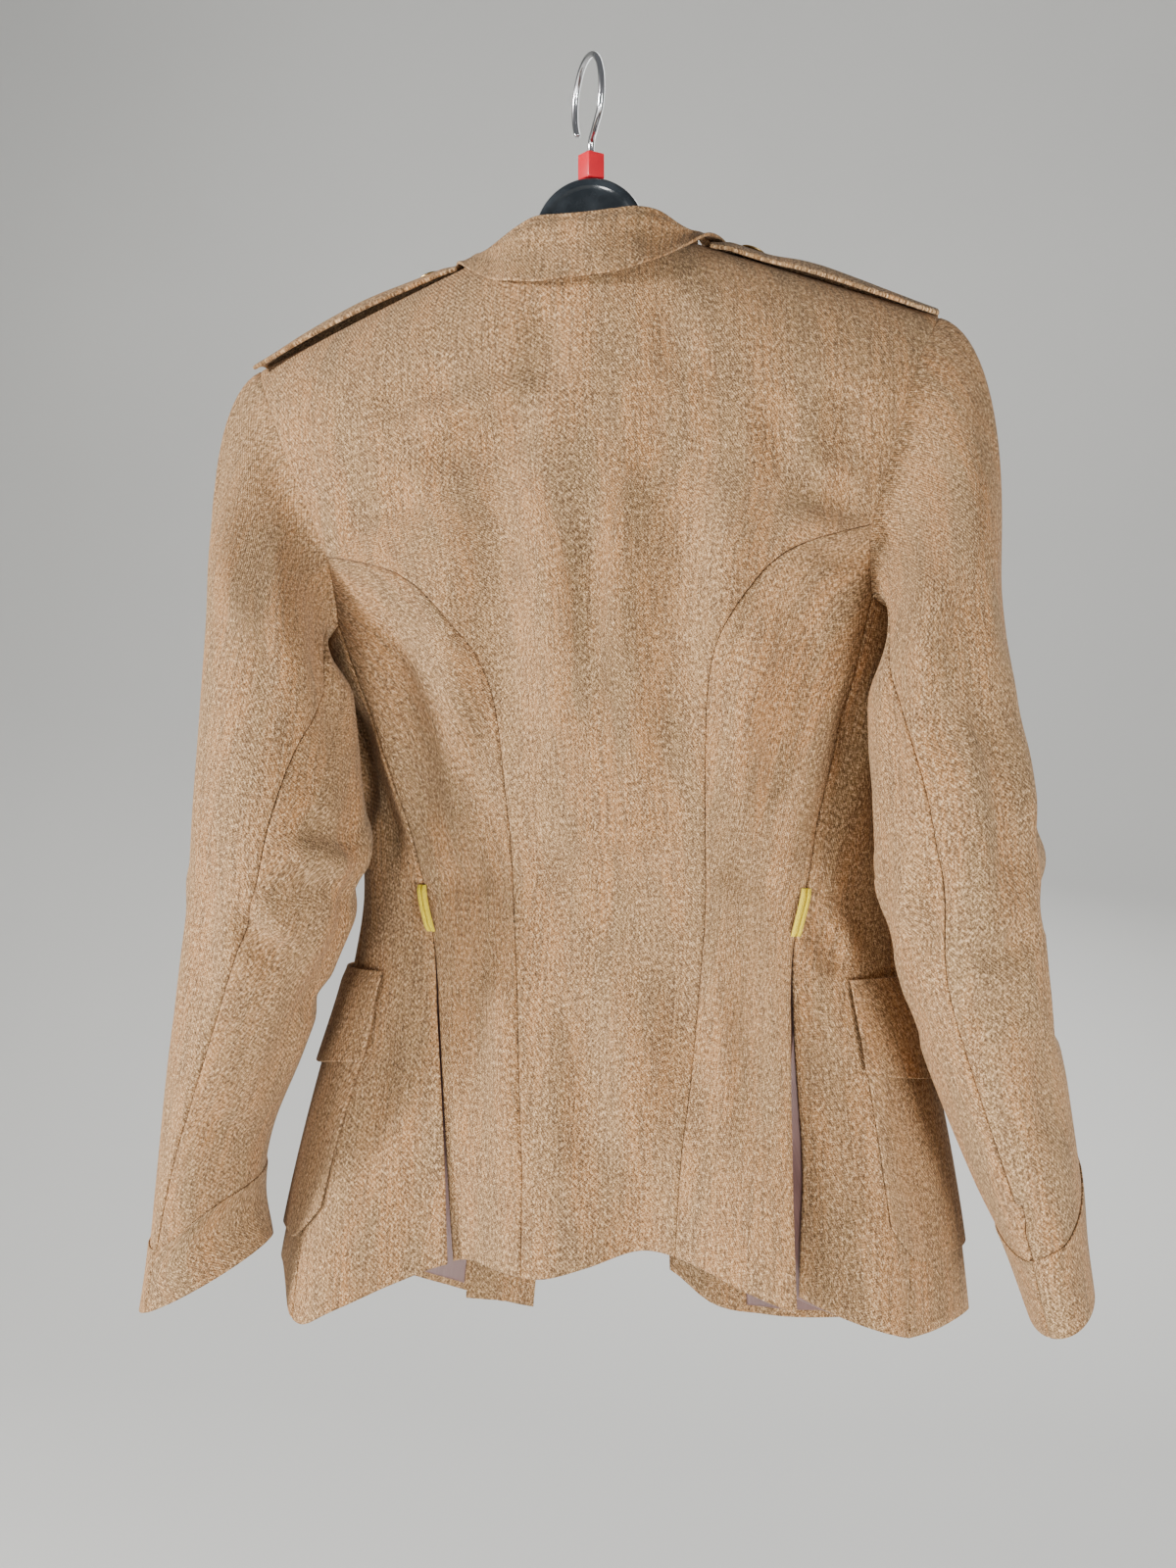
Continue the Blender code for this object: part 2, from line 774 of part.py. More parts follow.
def make_lapel(side, name, look):
    """The turned-back top of the front, from the roll line outwards."""
    rows, columns = 10, 5
    grid = np.zeros((rows + 1, columns + 1, 2))
    for i in range(rows + 1):
        v = i / rows
        low = LAPEL_FOOT_Z + (LAPEL_TOP_Z - LAPEL_FOOT_Z) * v
        width = 5.0 + (LAPEL_WIDTH - 5.0) * v**0.9
        for j in range(columns + 1):
            u = j / columns
            height = low - 0.14 * width * (1 - u) * v**3
            across = edge_across(low, side) + side * width * (1 - u)
            grid[i, j] = (front_angle(across, height, side), height)
    if side < 0:
        grid = grid[:, ::-1]
    points, normals = on_body(grid, SIDE_FOLDS)
    layer(name, points, normals, [name.replace("lapel", "front")], CLOTH, look)


# Collar: half of its fold line and lower edge, from the centre back to the front end
COLLAR = Table(
    "step fold_x fold_y fold_z edge_x edge_y edge_z",
    [
        (0, 0, -47, -106, 0, -66, -156),
        (1, 12, -46.6, -106, 12.5, -66, -155.7),
        (2, 24, -45, -107, 24.5, -65, -154.5),
        (3, 36, -41, -109.6, 36, -62, -151.5),
        (4, 48, -33.5, -113.5, 49, -54, -146),
        (5, 59.5, -20.5, -117.5, 64, -38, -136),
        (6, 68.5, -2, -116.2, 76, -20, -125),
        (7, 70.5, 14, -119.3, 84, 1, -124),
        (8, 70, 27, -124.5, 89, 19, -128.5),
        (9, 68, 39, -133, 95, 37, -141),
        (10, 65, 50, -146, 100, 50, -157),
        (11, 61, 57.5, -163, 103, 58, -173),
        (12, 57.5, 62, -181, 100, 63, -187),
    ],
)
BACK_STEPS = 6  # of the collar's steps, those behind the shoulder seam


class Hull:
    """The body's surface as samples, used to hold other pieces clear of it."""

    def __init__(self):
        points, normals = [], []
        for height in np.arange(-785.0, -100.0, 9.0):
            for angle in np.arange(-180.0, 180.0, 4.0):
                across = BODY.at("half_width", height) * math.sin(math.radians(angle))
                if height < shoulder_height(across) - 0.5:
                    points.append(body_point(angle, height, ()))
                    normals.append(body_normal(angle, height, ()))
        self.points, self.normals = np.array(points), np.array(normals)

    def push(self, point, clearance, top=None):
        """The point itself, or moved outwards until it is that far from the body.

        With a top, only points well below it are moved all the way.
        """
        away = point - self.points
        nearest = int(np.argmin(np.sum(away * away, axis=1)))
        height = float(away[nearest] @ self.normals[nearest])
        if height >= clearance:
            return point
        share = 1.0 if top is None else smooth(top, top - 30.0, point[2])
        return point + self.normals[nearest] * (clearance - height) * share


def collar_point(step, column):
    """A point of the fold line (column 0) or of the lower edge (1), level coordinates."""
    names = ("fold_x", "fold_y", "fold_z"), ("edge_x", "edge_y", "edge_z")
    point = np.array([COLLAR.at(n, abs(step)) for n in names[column]])
    point[0] *= 1 if step >= 0 else -1
    return point


def neckline_points():
    """The back panel's neck edge, with a point between each two of its own."""
    level = []
    for across in np.linspace(-NECK_X, NECK_X, NECK_COLUMNS + 1):
        height = shoulder_height(NECK_X) - BACK_NECK_DIP * (1 - (across / NECK_X) ** 2)
        level.append(body_point(angle_of(across, height), height, ()))
    out = [level[0]]
    for low, high in zip(level, level[1:]):
        out += [(low + high) / 2, high]
    return np.array(out)


def fold_frame(step):
    """Fold point, and the level direction away from the neck at that step."""
    point = collar_point(step, 0)
    ahead, behind = collar_point(step + 0.2, 0), collar_point(step - 0.2, 0)
    along = ahead - behind
    away = unit(np.array([along[1], -along[0], 0.0]))
    return point, away


def make_collar(look):
    steps = range(-BACK_STEPS, BACK_STEPS + 1)
    neckline = neckline_points()
    outer, inner = [], []
    for k, step in enumerate(steps):
        fold, away = fold_frame(step)
        foot = neckline[k] + np.array([0.0, 0.0, SEAM_GAP + 0.1])
        head = hang(fold - away * 0.25 - np.array([0, 0, COLLAR_CLOTH + 0.45]))
        outer.append([foot, (foot + head) / 2, head])
        inner.append([p - away * COLLAR_CLOTH for p in outer[-1]])
    outer, inner = np.array(outer), np.array(inner)
    shell("collar_stand", outer.transpose(1, 0, 2), inner.transpose(1, 0, 2), look)

    last = 12
    rows = []
    for step in range(-last, last + 1):
        fold, away = fold_frame(step)
        edge = collar_point(step, 1)
        front = smooth(BACK_STEPS, BACK_STEPS + 2, abs(step))
        over = 2.0 * (1 - front) + 0.2 * front
        column = [
            edge,
            edge * 0.72 + fold * 0.28,
            edge * 0.45 + fold * 0.55,
            edge * 0.2 + fold * 0.8 + away * 2.0,
            fold + away * 2.6 - np.array([0, 0, 3.6]),
            fold + away * 1.0 - np.array([0, 0, 0.5]),
            fold - away * over,
        ]
        rows.append([HULL.push(hang(p), COLLAR_CLOTH + 1.6) for p in column])
    points = np.array(rows).transpose(1, 0, 2)
    normals = grid_normals(points)
    if normals[1, last, 1] > 0:
        normals = -normals
    shell("collar_fall", points, points - normals * COLLAR_CLOTH, look)


STRAP = Table(
    "across left right",
    [(84, 6.5, 9.0), (98, 8.0, 7.0), (112, 9.5, 7.0), (131, 11.5, 9.5), (143, 12, 9.8),
     (155, 11.5, 9.0), (183, 8.5, 6.2), (198, 5.5, 4.6), (209, 3.6, 3.6)],
)
STRAP_HALF_WIDTH = 23.0
STRAP_END = 209.3


def strap_point(side, u, v):
    """Top surface of a strap; u from the neck end outwards, v from back to front."""
    name = "right" if side > 0 else "left"
    end = 85.5 + 2.5 * (v + 1) + 7.0 * max(abs(v) - 0.45, 0.0) ** 2
    across = end + (STRAP_END - end) * u
    rise = STRAP.at(name, across) * (1 - 0.6 * v * v) - 3.6 * v * v
    return hang((side * across, STRAP_HALF_WIDTH * v, shoulder_height(across) + rise))


def make_strap(side, name, look):
    rows, columns = 4, 12
    points = np.zeros((rows + 1, columns + 1, 3))
    for i in range(rows + 1):
        for j in range(columns + 1):
            points[i, j] = strap_point(side, j / columns, 2 * i / rows - 1)
    normals = grid_normals(points)
    if normals[0, 0, 2] < 0:
        normals = -normals
    shell(name, points, points - normals * STRAP_CLOTH, look)


# Sleeves: rings of each, as its outline seen from behind, its middle and half depth
SLEEVES = {
    -1: Table(
        "ring outer_x outer_z inner_x inner_z middle depth seam",
        [
            (1, -223, -330, -141, -392, -46, 52, 150),
            (2, -225.5, -405, -136.5, -430, -52, 54, 122),
            (3, -227.5, -455, -130, -470, -57, 55, 104),
            (4, -230, -505, -133, -510, -60, 52, 95),
            (5, -237, -560, -151, -556, -58, 49, 90),
            (6, -246.5, -618, -170, -608, -52, 47, 83),
            (7, -256, -680, -188, -652, -44, 44, 70),
            (8, -264, -730, -193, -690, -38, 42, 56),
            (9, -271, -764, -193, -722, -35, 42, 48),
        ],
    ),
    1: Table(
        "ring outer_x outer_z inner_x inner_z middle depth seam",
        [
            (1, 244, -330, 170, -394, -48, 53, 135),
            (2, 252, -397, 171, -428, -54, 56, 116),
            (3, 262, -448, 172, -460, -60, 56, 107),
            (4, 268, -500, 176, -505, -62, 54, 104),
            (5, 273, -556, 187, -552, -60, 52, 112),
            (6, 280.5, -610, 204, -603, -54, 52, 111),
            (7, 288, -663, 228, -663, -46, 54, 111),
            (8, 291, -697, 246, -701, -40, 54, 114),
            (9, 295, -727, 261, -742, -36, 55, 122),
        ],
    ),
}
RINGS = 9
CAP_RINGS = (0.18, 0.42, 0.7)
FRONT_SLEEVE_SEAM = 267.0
# How far the cloth turns at the armhole. Places: 0 shoulder tip, 1 princess seam,
# 2 vent seam, 3 side seam, 4 the tip again
TURN = Table(
    "place turn",
    [(0, 0), (0.5, 8), (1, 22), (1.5, 48), (2, 76), (2.5, 98), (3, 104), (3.25, 90),
     (3.5, 62), (3.75, 26), (4, 0)],
)
BACK_SEAM_POINT = YOKE_ROWS + SIDE_BACK_COLUMNS
UNDERARM_POINT = BACK_SEAM_POINT + SIDE_PANEL_COLUMNS
FRONT_SEAM_POINT = UNDERARM_POINT + 2
AROUND = 2 * YOKE_ROWS + SIDE_BACK_COLUMNS + SIDE_PANEL_COLUMNS
ARMHOLE_CORNERS = (0, YOKE_ROWS, BACK_SEAM_POINT, UNDERARM_POINT, AROUND)


def armhole(side):
    """Angle and height of every corner of the body along the armhole, from the tip."""
    rows = back_armhole(side)[::-1]
    rows += low_back_armhole(side, SIDE_BACK_COLUMNS)[1:]
    rows += underarm(side, SIDE_PANEL_COLUMNS)[1:]
    rows += front_armhole(side)[1:-1]
    return rows


def between(values, k):
    """Entry k of a closed list of points; halfway between two for a half k."""
    low = int(math.floor(k))
    share = k - low
    return values[low % len(values)] * (1 - share) + values[(low + 1) % len(values)] * share


class Sleeve:
    def __init__(self, side):
        self.side = side
        self.table = SLEEVES[side]
        rows = armhole(side)
        edge = np.array([body_point(a, h, ()) for a, h in rows])
        normals = np.array([body_normal(a, h, ()) for a, h in rows])
        along = np.roll(edge, -1, axis=0) - np.roll(edge, 1, axis=0)
        beyond = np.cross(normals, along) * side
        beyond /= np.linalg.norm(beyond, axis=1, keepdims=True)
        places = np.interp(range(AROUND), ARMHOLE_CORNERS, range(5))
        turn = np.radians([TURN.at("turn", place) for place in places])[:, None]
        half = turn / 2
        self.edge = edge + SEAM_GAP * 0.6 * (beyond * np.cos(half) + normals * np.sin(half))
        self.into = beyond * np.sin(turn) - normals * np.cos(turn)
        self.start = beyond * np.cos(turn) + normals * np.sin(turn)

    def angle(self, ring, k):
        """Angle round the sleeve of a column; columns stay evenly spread between seams."""
        seam = self.table.at("seam", ring)
        if k <= BACK_SEAM_POINT:
            return seam * k / BACK_SEAM_POINT
        if k <= FRONT_SEAM_POINT:
            share = (k - BACK_SEAM_POINT) / (FRONT_SEAM_POINT - BACK_SEAM_POINT)
            return seam + (FRONT_SLEEVE_SEAM - seam) * share
        share = (k - FRONT_SEAM_POINT) / (AROUND - FRONT_SEAM_POINT)
        return FRONT_SLEEVE_SEAM + (360.0 - FRONT_SLEEVE_SEAM) * share

    def ring_point(self, ring, k):
        at = self.table.at
        outer = np.array([at("outer_x", ring), 0.0, at("outer_z", ring)])
        inner = np.array([at("inner_x", ring), 0.0, at("inner_z", ring)])
        centre = (outer + inner) / 2 + np.array([0.0, at("middle", ring), 0.0])
        a = math.radians(self.angle(ring, k))
        back = np.array([0.0, -at("depth", ring), -5.0 * smooth(7, 9, ring)])
        point = centre + (outer - inner) / 2 * math.cos(a) + back * math.sin(a)
        clearance = 9.0 if point[2] < -540 else 5.0
        return HULL.push(point, clearance)

    def columns(self):
        """Round the sleeve from the back seam; the undersleeve has twice as many."""
        under = list(np.arange(BACK_SEAM_POINT, FRONT_SEAM_POINT, 0.5))
        return under + list(range(FRONT_SEAM_POINT, AROUND + BACK_SEAM_POINT))

    def grid(self):
        """Outer points and outward directions, rows from the armhole to the cuff."""
        columns = [k % AROUND for k in self.columns()]
        rows = [[between(self.edge, k) for k in columns]]
        for share in CAP_RINGS:
            row = []
            for k in columns:
                foot, end = between(self.edge, k), self.ring_point(1, k)
                reach = np.linalg.norm(end - foot)
                out = unit(between(self.start, k)) * reach * 0.62
                down = np.array([-0.1 * self.side, 0.0, -1.0]) * reach * 0.9
                t = share
                point = (
                    foot * (1 + 2 * t) * (1 - t) ** 2
                    + end * t * t * (3 - 2 * t)
                    + out * t * (1 - t) ** 2
                    - down * t * t * (1 - t)
                )
                row.append(HULL.push(point, 5.0 * share**0.5, -322.0))
            rows.append(row)
        for ring in np.linspace(1, RINGS, SLEEVE_ROWS):
            rows.append([self.ring_point(ring, k) for k in columns])
        points = np.array(rows)
        normals = grid_normals(points, ring=True)
        out_from_middle = points - points.mean(axis=1, keepdims=True)
        if np.sum(normals[3:] * out_from_middle[3:]) < 0:
            normals = -normals
        normals[0] = [-unit(between(self.into, k)) for k in columns]
        return points, normals


SLEEVE_ROWS = 10
CUFF_TOP = Table(
    "turn ring",
    [(-180, 7.2), (-150, 6.75), (-115, 6.85), (-80, 7.35), (-50, 7.7), (-20, 7.85),
     (0, 7.95), (60, 7.8), (130, 7.7), (165, 7.45), (180, 7.2)],
)


def make_sleeve(side, word, look):
    sleeve = Sleeve(side)
    points, normals = sleeve.grid()
    inner = points - normals * CLOTH
    count = points.shape[1]
    front_seam = 2 * (FRONT_SEAM_POINT - BACK_SEAM_POINT)
    under = list(range(front_seam + 1))
    top = list(range(front_seam, count)) + [0]
    for name, columns in (("topsleeve", top), ("undersleeve", under)):
        outer = trimmed(points[:, columns], SEAM_GAP / 2, "lr")
        shift = outer - points[:, columns]
        shell(f"{name}_{word}", outer, inner[:, columns] + shift, look)
    make_cuff(sleeve, f"cuff_{word}", look)


def make_cuff(sleeve, name, look):
    """A turned cuff that lies on the sleeve, from its shaped top edge to the hem."""
    columns = [k % AROUND for k in sleeve.columns()] + [BACK_SEAM_POINT]
    rows = 4
    points = np.zeros((rows + 1, len(columns), 3))
    for j, k in enumerate(columns):
        seam = sleeve.table.at("seam", 8)
        turn = (sleeve.angle(8, k) - seam + 180.0) % 360.0 - 180.0
        if j == 0:
            turn = 0.0
        top = CUFF_TOP.at("ring", turn)
        for i in range(rows + 1):
            points[i, j] = sleeve.ring_point(9.0 + (top - 9.0) * i / rows, k)
    closed = points[:, :-1]
    normals = grid_normals(closed, ring=True)
    if np.sum(normals * (closed - closed.mean(axis=1, keepdims=True))) < 0:
        normals = -normals
    normals = np.concatenate([normals, normals[:, :1]], axis=1)
    points = trimmed(points, SEAM_GAP / 2 + 0.1, "lr")
    word = name.replace("cuff_", "")
    under = [f"topsleeve_{word}", f"undersleeve_{word}"]
    layer(name, points, normals, under, CUFF_CLOTH, look)


LOOP_TOP_Z = -503.5
LOOP_FOOT_Z = -531.5
LOOP_RIDGES = (-0.7, 0.45, 0.55, -0.2, 0.55, 0.45, -0.7)


def make_loop(side, name, look):
    """A belt loop of two cords side by side, standing off the vent seam."""
    rows, columns = 8, len(LOOP_RIDGES)
    outer, inner = np.zeros((rows + 1, columns, 3)), np.zeros((rows + 1, columns, 3))
    for i in range(rows + 1):
        height = LOOP_FOOT_Z + (LOOP_TOP_Z - LOOP_FOOT_Z) * i / rows
        seam = VENT_SEAM.at("across", height)
        stand = 1.0 + 2.2 * math.sin(math.pi * i / rows)
        for j in range(columns):
            across = side * seam + (j / (columns - 1) - 0.5) * 5.6
            angle = angle_of(across, height)
            normal = body_normal(angle, height, ())
            foot = body_point(angle, height, ())
            outer[i, j] = foot + normal * (stand + LOOP_CLOTH + LOOP_RIDGES[j])
            inner[i, j] = foot + normal * stand
    shell(name, outer, inner, look)


# Buttons

BUTTON_RADIUS = 11.0
STRAP_BUTTON_RADIUS = 8.0
BUTTON_HEIGHTS = (-405.0, -458.0, -511.0, -564.0)
BUTTON_INSET = 20.0


# A button's profile from its top down, in radii: distance from the axis, height
BUTTON_PROFILE = (
    (0.0, 0.6), (0.38, 0.55), (0.72, 0.42), (0.98, 0.2), (1.0, 0.08), (0.9, 0.0), (0.0, 0.0)
)


def dome(name, centre, facing, radius, look, sides=16):
    """A domed metal button, its profile turned about its own axis."""
    mesh = bpy.data.meshes.new(name)
    bm = bmesh.new()
    corners = [bm.verts.new((out * radius * MM, 0.0, up * radius * MM)) for out, up in BUTTON_PROFILE]
    for high, low in zip(corners, corners[1:]):
        bm.edges.new((high, low))
    bm.to_mesh(mesh)
    bm.free()
    button = finish(name, mesh, look)
    turned = button.modifiers.new("turned", "SCREW")
    turned.steps = turned.render_steps = sides
    turned.use_merge_vertices = True
    turned.merge_threshold = 0.00001
    button.location = Vector(centre) * MM
    button.rotation_mode = "QUATERNION"
    button.rotation_quaternion = Vector(facing).to_track_quat("Z", "Y")


def make_buttons(look):
    for count, height in enumerate(BUTTON_HEIGHTS, 1):
        across = edge_across(height, -1) - BUTTON_INSET
        angle = front_angle(across, height, -1)
        normal = body_normal(angle, height, SIDE_FOLDS)
        centre = body_point(angle, height, SIDE_FOLDS) + normal * 0.8
        dome(f"front_button_{count}", centre, normal, BUTTON_RADIUS, look)
    for side, word in ((-1, "left"), (1, "right")):
        centre, normal = strap_point(side, 0.1, 0.0), np.array([0.0, 0.0, 1.0])
        along = strap_point(side, 0.15, 0.0) - strap_point(side, 0.05, 0.0)
        normal = unit(normal - unit(along) * (normal @ unit(along)))
        top = centre + normal * 0.8
        dome(f"strap_button_{word}", top, normal, STRAP_BUTTON_RADIUS, look, 14)


# The hanger

ARM_TIP_X = 196.0
ARM_HALF_DEPTH = 11.0
ARM_HALF_HEIGHT = 7.5
ARM_SIDES = 10
HUB_RADIUS = 34.0
HUB_HALF_DEPTH = 8.0
HUB_BEVEL = 1.5
HUB = np.array([2.0, 0.0, -108.0])
WIRE_RADIUS = 2.0
BEND_RADIUS = 26.0  # of the middle of the wire
HOOK_PLANE = (-0.475, 0.88, 0.0)  # the way that the bend opens
CUBE_HALF = 6.0
CUBE_TOP_Z = -57.5
CUBE_FOOT_Z = -73.3


def rod(name, rings, look, smooth_angle=35.0):
    """A closed solid through rings of points, with flat ends."""
    mesh = bpy.data.meshes.new(name)
    bm = bmesh.new()
    loops = [[bm.verts.new(np.array(p) * MM) for p in ring] for ring in rings]
    for low, high in zip(loops, loops[1:]):
        for k in range(len(low)):
            m = (k + 1) % len(low)
            bm.faces.new((low[k], low[m], high[m], high[k]))
    bm.faces.new(loops[0][::-1])
    bm.faces.new(loops[-1])
    bmesh.ops.triangulate(bm, faces=[f for f in bm.faces if len(f.verts) > 4])
    bmesh.ops.recalc_face_normals(bm, faces=bm.faces)
    bm.to_mesh(mesh)
    bm.free()
    finish(name, mesh, look, smooth_angle)


def make_arm(side, name, look):
    rings = []
    for share in np.linspace(0, 1, 10):
        across = HUB_RADIUS + (ARM_TIP_X - HUB_RADIUS) * share
        top = shoulder_height(max(across, 78.0)) + 0.62 * max(72.0 - across, 0.0)
        top -= CLOTH + FACING_CLOTH + LAYER_GAP + 2.2
        taper = 1.0 - 0.35 * share
        ring = []
        for k in range(ARM_SIDES):
            a = 2 * math.pi * k / ARM_SIDES
            y = ARM_HALF_DEPTH * taper * math.cos(a)
            z = top - ARM_HALF_HEIGHT * taper * (1 - math.sin(a))
            point = hang((side * across, y, z))
            if share == 0:
                drop = point[2] - HUB[2]
                reach = math.sqrt((HUB_RADIUS + 1.2) ** 2 - drop * drop)
                point[0] = HUB[0] + side * reach
            ring.append(point)
        rings.append(ring)
    rod(name, rings, look)


def make_hub(name, look):
    """The flat round plate at the middle of the hanger."""
    mesh = bpy.data.meshes.new(name)
    bm = bmesh.new()
    bmesh.ops.create_cone(
        bm,
        cap_ends=True,
        segments=32,
        radius1=HUB_RADIUS * MM,
        radius2=HUB_RADIUS * MM,
        depth=2 * HUB_HALF_DEPTH * MM,
    )
    bm.to_mesh(mesh)
    bm.free()
    hub = finish(name, mesh, look)
    hub.location = Vector(HUB) * MM
    hub.rotation_euler = (math.radians(90), 0.0, 0.0)
    rounded = hub.modifiers.new("rounded", "BEVEL")
    rounded.width = HUB_BEVEL * MM
    rounded.segments = 1


def make_hook(name, look):
    """The wire hook, from its free end over the bend and down to the hub."""
    plane = unit(np.array(HOOK_PLANE))
    middle = np.array([0.0, 0.0, WIRE_RADIUS - BEND_RADIUS])
    path = []
    for a in np.radians(np.arange(-38, 215, 18)):
        path.append(middle + BEND_RADIUS * (math.cos(a) * plane + math.sin(a) * UP))
    foot = np.array([HUB[0], HUB[1], CUBE_TOP_Z + 6.0])
    path += [path[-1] * 0.45 + foot * 0.55 + np.array([0, -1.0, 0]), foot]
    path.append(np.array([HUB[0], HUB[1], HUB[2] + HUB_RADIUS + 0.3]))
    curve = bpy.data.curves.new(name, "CURVE")
    curve.dimensions = "3D"
    curve.bevel_depth = WIRE_RADIUS * MM
    curve.bevel_resolution = 2
    curve.use_fill_caps = True
    spline = curve.splines.new("POLY")
    spline.points.add(len(path) - 1)
    for corner, point in zip(spline.points, path):
        corner.co = (*(point * MM), 1.0)
    curve.materials.append(look)
    PARTS.objects.link(bpy.data.objects.new(name, curve))


def make_cube(name, look):
    """The size marker: a cube threaded on the wire, one edge to the back."""
    height = CUBE_TOP_Z - CUBE_FOOT_Z
    middle = (HUB[0] * MM, HUB[1] * MM, (CUBE_TOP_Z + CUBE_FOOT_Z) / 2 * MM)
    mesh = bpy.data.meshes.new(name)
    bm = bmesh.new()
    bmesh.ops.create_cube(bm, size=1.0)
    bmesh.ops.scale(bm, vec=(2 * CUBE_HALF * MM, 2 * CUBE_HALF * MM, height * MM), verts=bm.verts)
    bm.to_mesh(mesh)
    bm.free()
    cube = finish(name, mesh, look)
    cube.location = middle
    cube.rotation_euler = (0.0, 0.0, math.radians(45))

    mesh = bpy.data.meshes.new(f"{name}_hole")
    bm = bmesh.new()
    bore = (WIRE_RADIUS + 0.5) * MM
    bmesh.ops.create_cone(
        bm, cap_ends=True, segments=16, radius1=bore, radius2=bore, depth=2 * height * MM
    )
    bm.to_mesh(mesh)
    bm.free()
    cutter = bpy.data.objects.new(f"{name}_hole", mesh)
    cutter.location = middle
    cutter.hide_render = True
    cutter.display_type = "WIRE"
    CUTTERS.objects.link(cutter)
    bored = cube.modifiers.new("bored", "BOOLEAN")
    bored.object = cutter
    bored.operation = "DIFFERENCE"


def build():
    wool = material("wool", (0.33, 0.21, 0.115), 0.9)
    lining = material("lining", (0.16, 0.085, 0.07), 0.55)
    cord = material("yellow_cord", (0.75, 0.66, 0.06), 0.7)
    brass = material("button_metal", (0.55, 0.42, 0.16), 0.35, 1.0)
    black = material("black_plastic", (0.02, 0.025, 0.03), 0.3)
    steel = material("hook_steel", (0.6, 0.6, 0.62), 0.25, 1.0)
    red = material("red_plastic", (0.62, 0.02, 0.03), 0.4)
    make_back(wool)
    make_collar(wool)
    for side, word in ((-1, "left"), (1, "right")):
        make_side_back(side, f"side_back_{word}", wool)
        make_side_panel(side, f"side_panel_{word}", wool)
        make_front(side, f"front_{word}", wool)
        make_facing(side, f"facing_{word}", wool)
        make_lining(side, f"lining_{word}", lining)
        make_lapel(side, f"lapel_{word}", wool)
        make_pocket(side, f"pocket_{word}", wool)
        make_flap(side, f"pocket_flap_{word}", wool)
        make_strap(side, f"shoulder_strap_{word}", wool)
        make_sleeve(side, word, wool)
        make_loop(side, f"belt_loop_{word}", cord)
    make_buttons(brass)
    make_arm(-1, "hanger_arm_left", black)
    make_arm(1, "hanger_arm_right", black)
    make_hub("hanger_hub", black)
    make_hook("hook", steel)
    make_cube("hanger_cube", red)


for old in list(bpy.data.objects):
    bpy.data.objects.remove(old)
PARTS = bpy.data.collections.new("dress_uniform_jacket")
CUTTERS = bpy.data.collections.new("cutters")
for group in (PARTS, CUTTERS):
    bpy.context.scene.collection.children.link(group)
HULL = Hull()
build()
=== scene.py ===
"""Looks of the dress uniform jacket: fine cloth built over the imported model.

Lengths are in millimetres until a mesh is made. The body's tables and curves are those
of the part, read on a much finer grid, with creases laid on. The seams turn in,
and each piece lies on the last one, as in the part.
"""
import math

import bmesh
import bpy
import numpy as np
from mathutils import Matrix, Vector
from mathutils.kdtree import KDTree


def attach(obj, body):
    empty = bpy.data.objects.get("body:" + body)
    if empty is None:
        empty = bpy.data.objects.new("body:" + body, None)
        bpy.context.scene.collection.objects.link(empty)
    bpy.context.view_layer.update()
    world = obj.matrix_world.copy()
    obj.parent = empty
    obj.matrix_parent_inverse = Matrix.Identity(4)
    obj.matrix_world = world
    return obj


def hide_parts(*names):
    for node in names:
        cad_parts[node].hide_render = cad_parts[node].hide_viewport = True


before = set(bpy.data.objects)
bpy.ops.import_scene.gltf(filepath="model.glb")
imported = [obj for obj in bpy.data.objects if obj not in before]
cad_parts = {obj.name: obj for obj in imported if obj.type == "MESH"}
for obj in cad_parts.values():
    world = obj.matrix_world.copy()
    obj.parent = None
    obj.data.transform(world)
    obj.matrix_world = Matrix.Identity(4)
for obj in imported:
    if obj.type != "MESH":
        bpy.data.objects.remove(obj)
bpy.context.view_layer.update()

MM = 0.001
UP = np.array([0.0, 0.0, 1.0])
FINE = 7  # rows and columns here for each one of the part

# Camera, at the photograph's viewing angle

CAMERA_AT = np.array([193.3, -1096.1, -443.0])
CAMERA_TURN = math.radians(10)
CAMERA_LENS = 41.74
SENSOR_WIDTH = 36.0
FRAME_PIXELS = (1200, 1600)

camera_data = bpy.data.cameras.new("camera")
camera_data.lens = CAMERA_LENS
camera_data.sensor_width = SENSOR_WIDTH
camera_data.clip_start = 0.01
camera = bpy.data.objects.new("camera", camera_data)
camera.location = CAMERA_AT * MM
camera.rotation_euler = (math.radians(90), 0.0, CAMERA_TURN)
bpy.context.scene.collection.objects.link(camera)
bpy.context.scene.camera = camera

# The jacket's shape, as in the part

SIDES = ((-1, "left"), (1, "right"))
CLOTH = 2.0
SEAM_GAP = 0.3
LAYER_GAP = 0.35
LINING = 1.0
POCKET_CLOTH = 1.6
FACING_CLOTH = 1.4
COLLAR_CLOTH = 2.0
STRAP_CLOTH = 2.8

TIP_X = 210.5
TIP_Z = -175.0
NECK_X = 68.0
SHOULDER_SLOPE = 0.385
SHOULDER_ROUND_BACK = 70.0
SHOULDER_ROUND_FRONT = 60.0
BACK_NECK_DIP = 21.0
SHOULDER_TILT = math.tan(math.radians(2.1))
TILT_FULL_Z = -330.0
TILT_ENDS_Z = -500.0
SWAY = 20.0
SWAY_STARTS_Z = -100.0
SWAY_FULL_Z = -500.0
BACK_CORNER_Z = -300.0  # where the princess seam meets the armhole
SIDE_CORNER_Z = -340.0  # where the vent seam meets it
UNDERARM_Z = -358.0
UNDERARM_ANGLE = 96.0
SEAM_ROWS = 12
YOKE_ROWS = 7
BACK_COLUMNS = 16
NECK_COLUMNS = 6
SIDE_BACK_COLUMNS = 4
SIDE_PANEL_COLUMNS = 6
FRONT_COLUMNS = 10


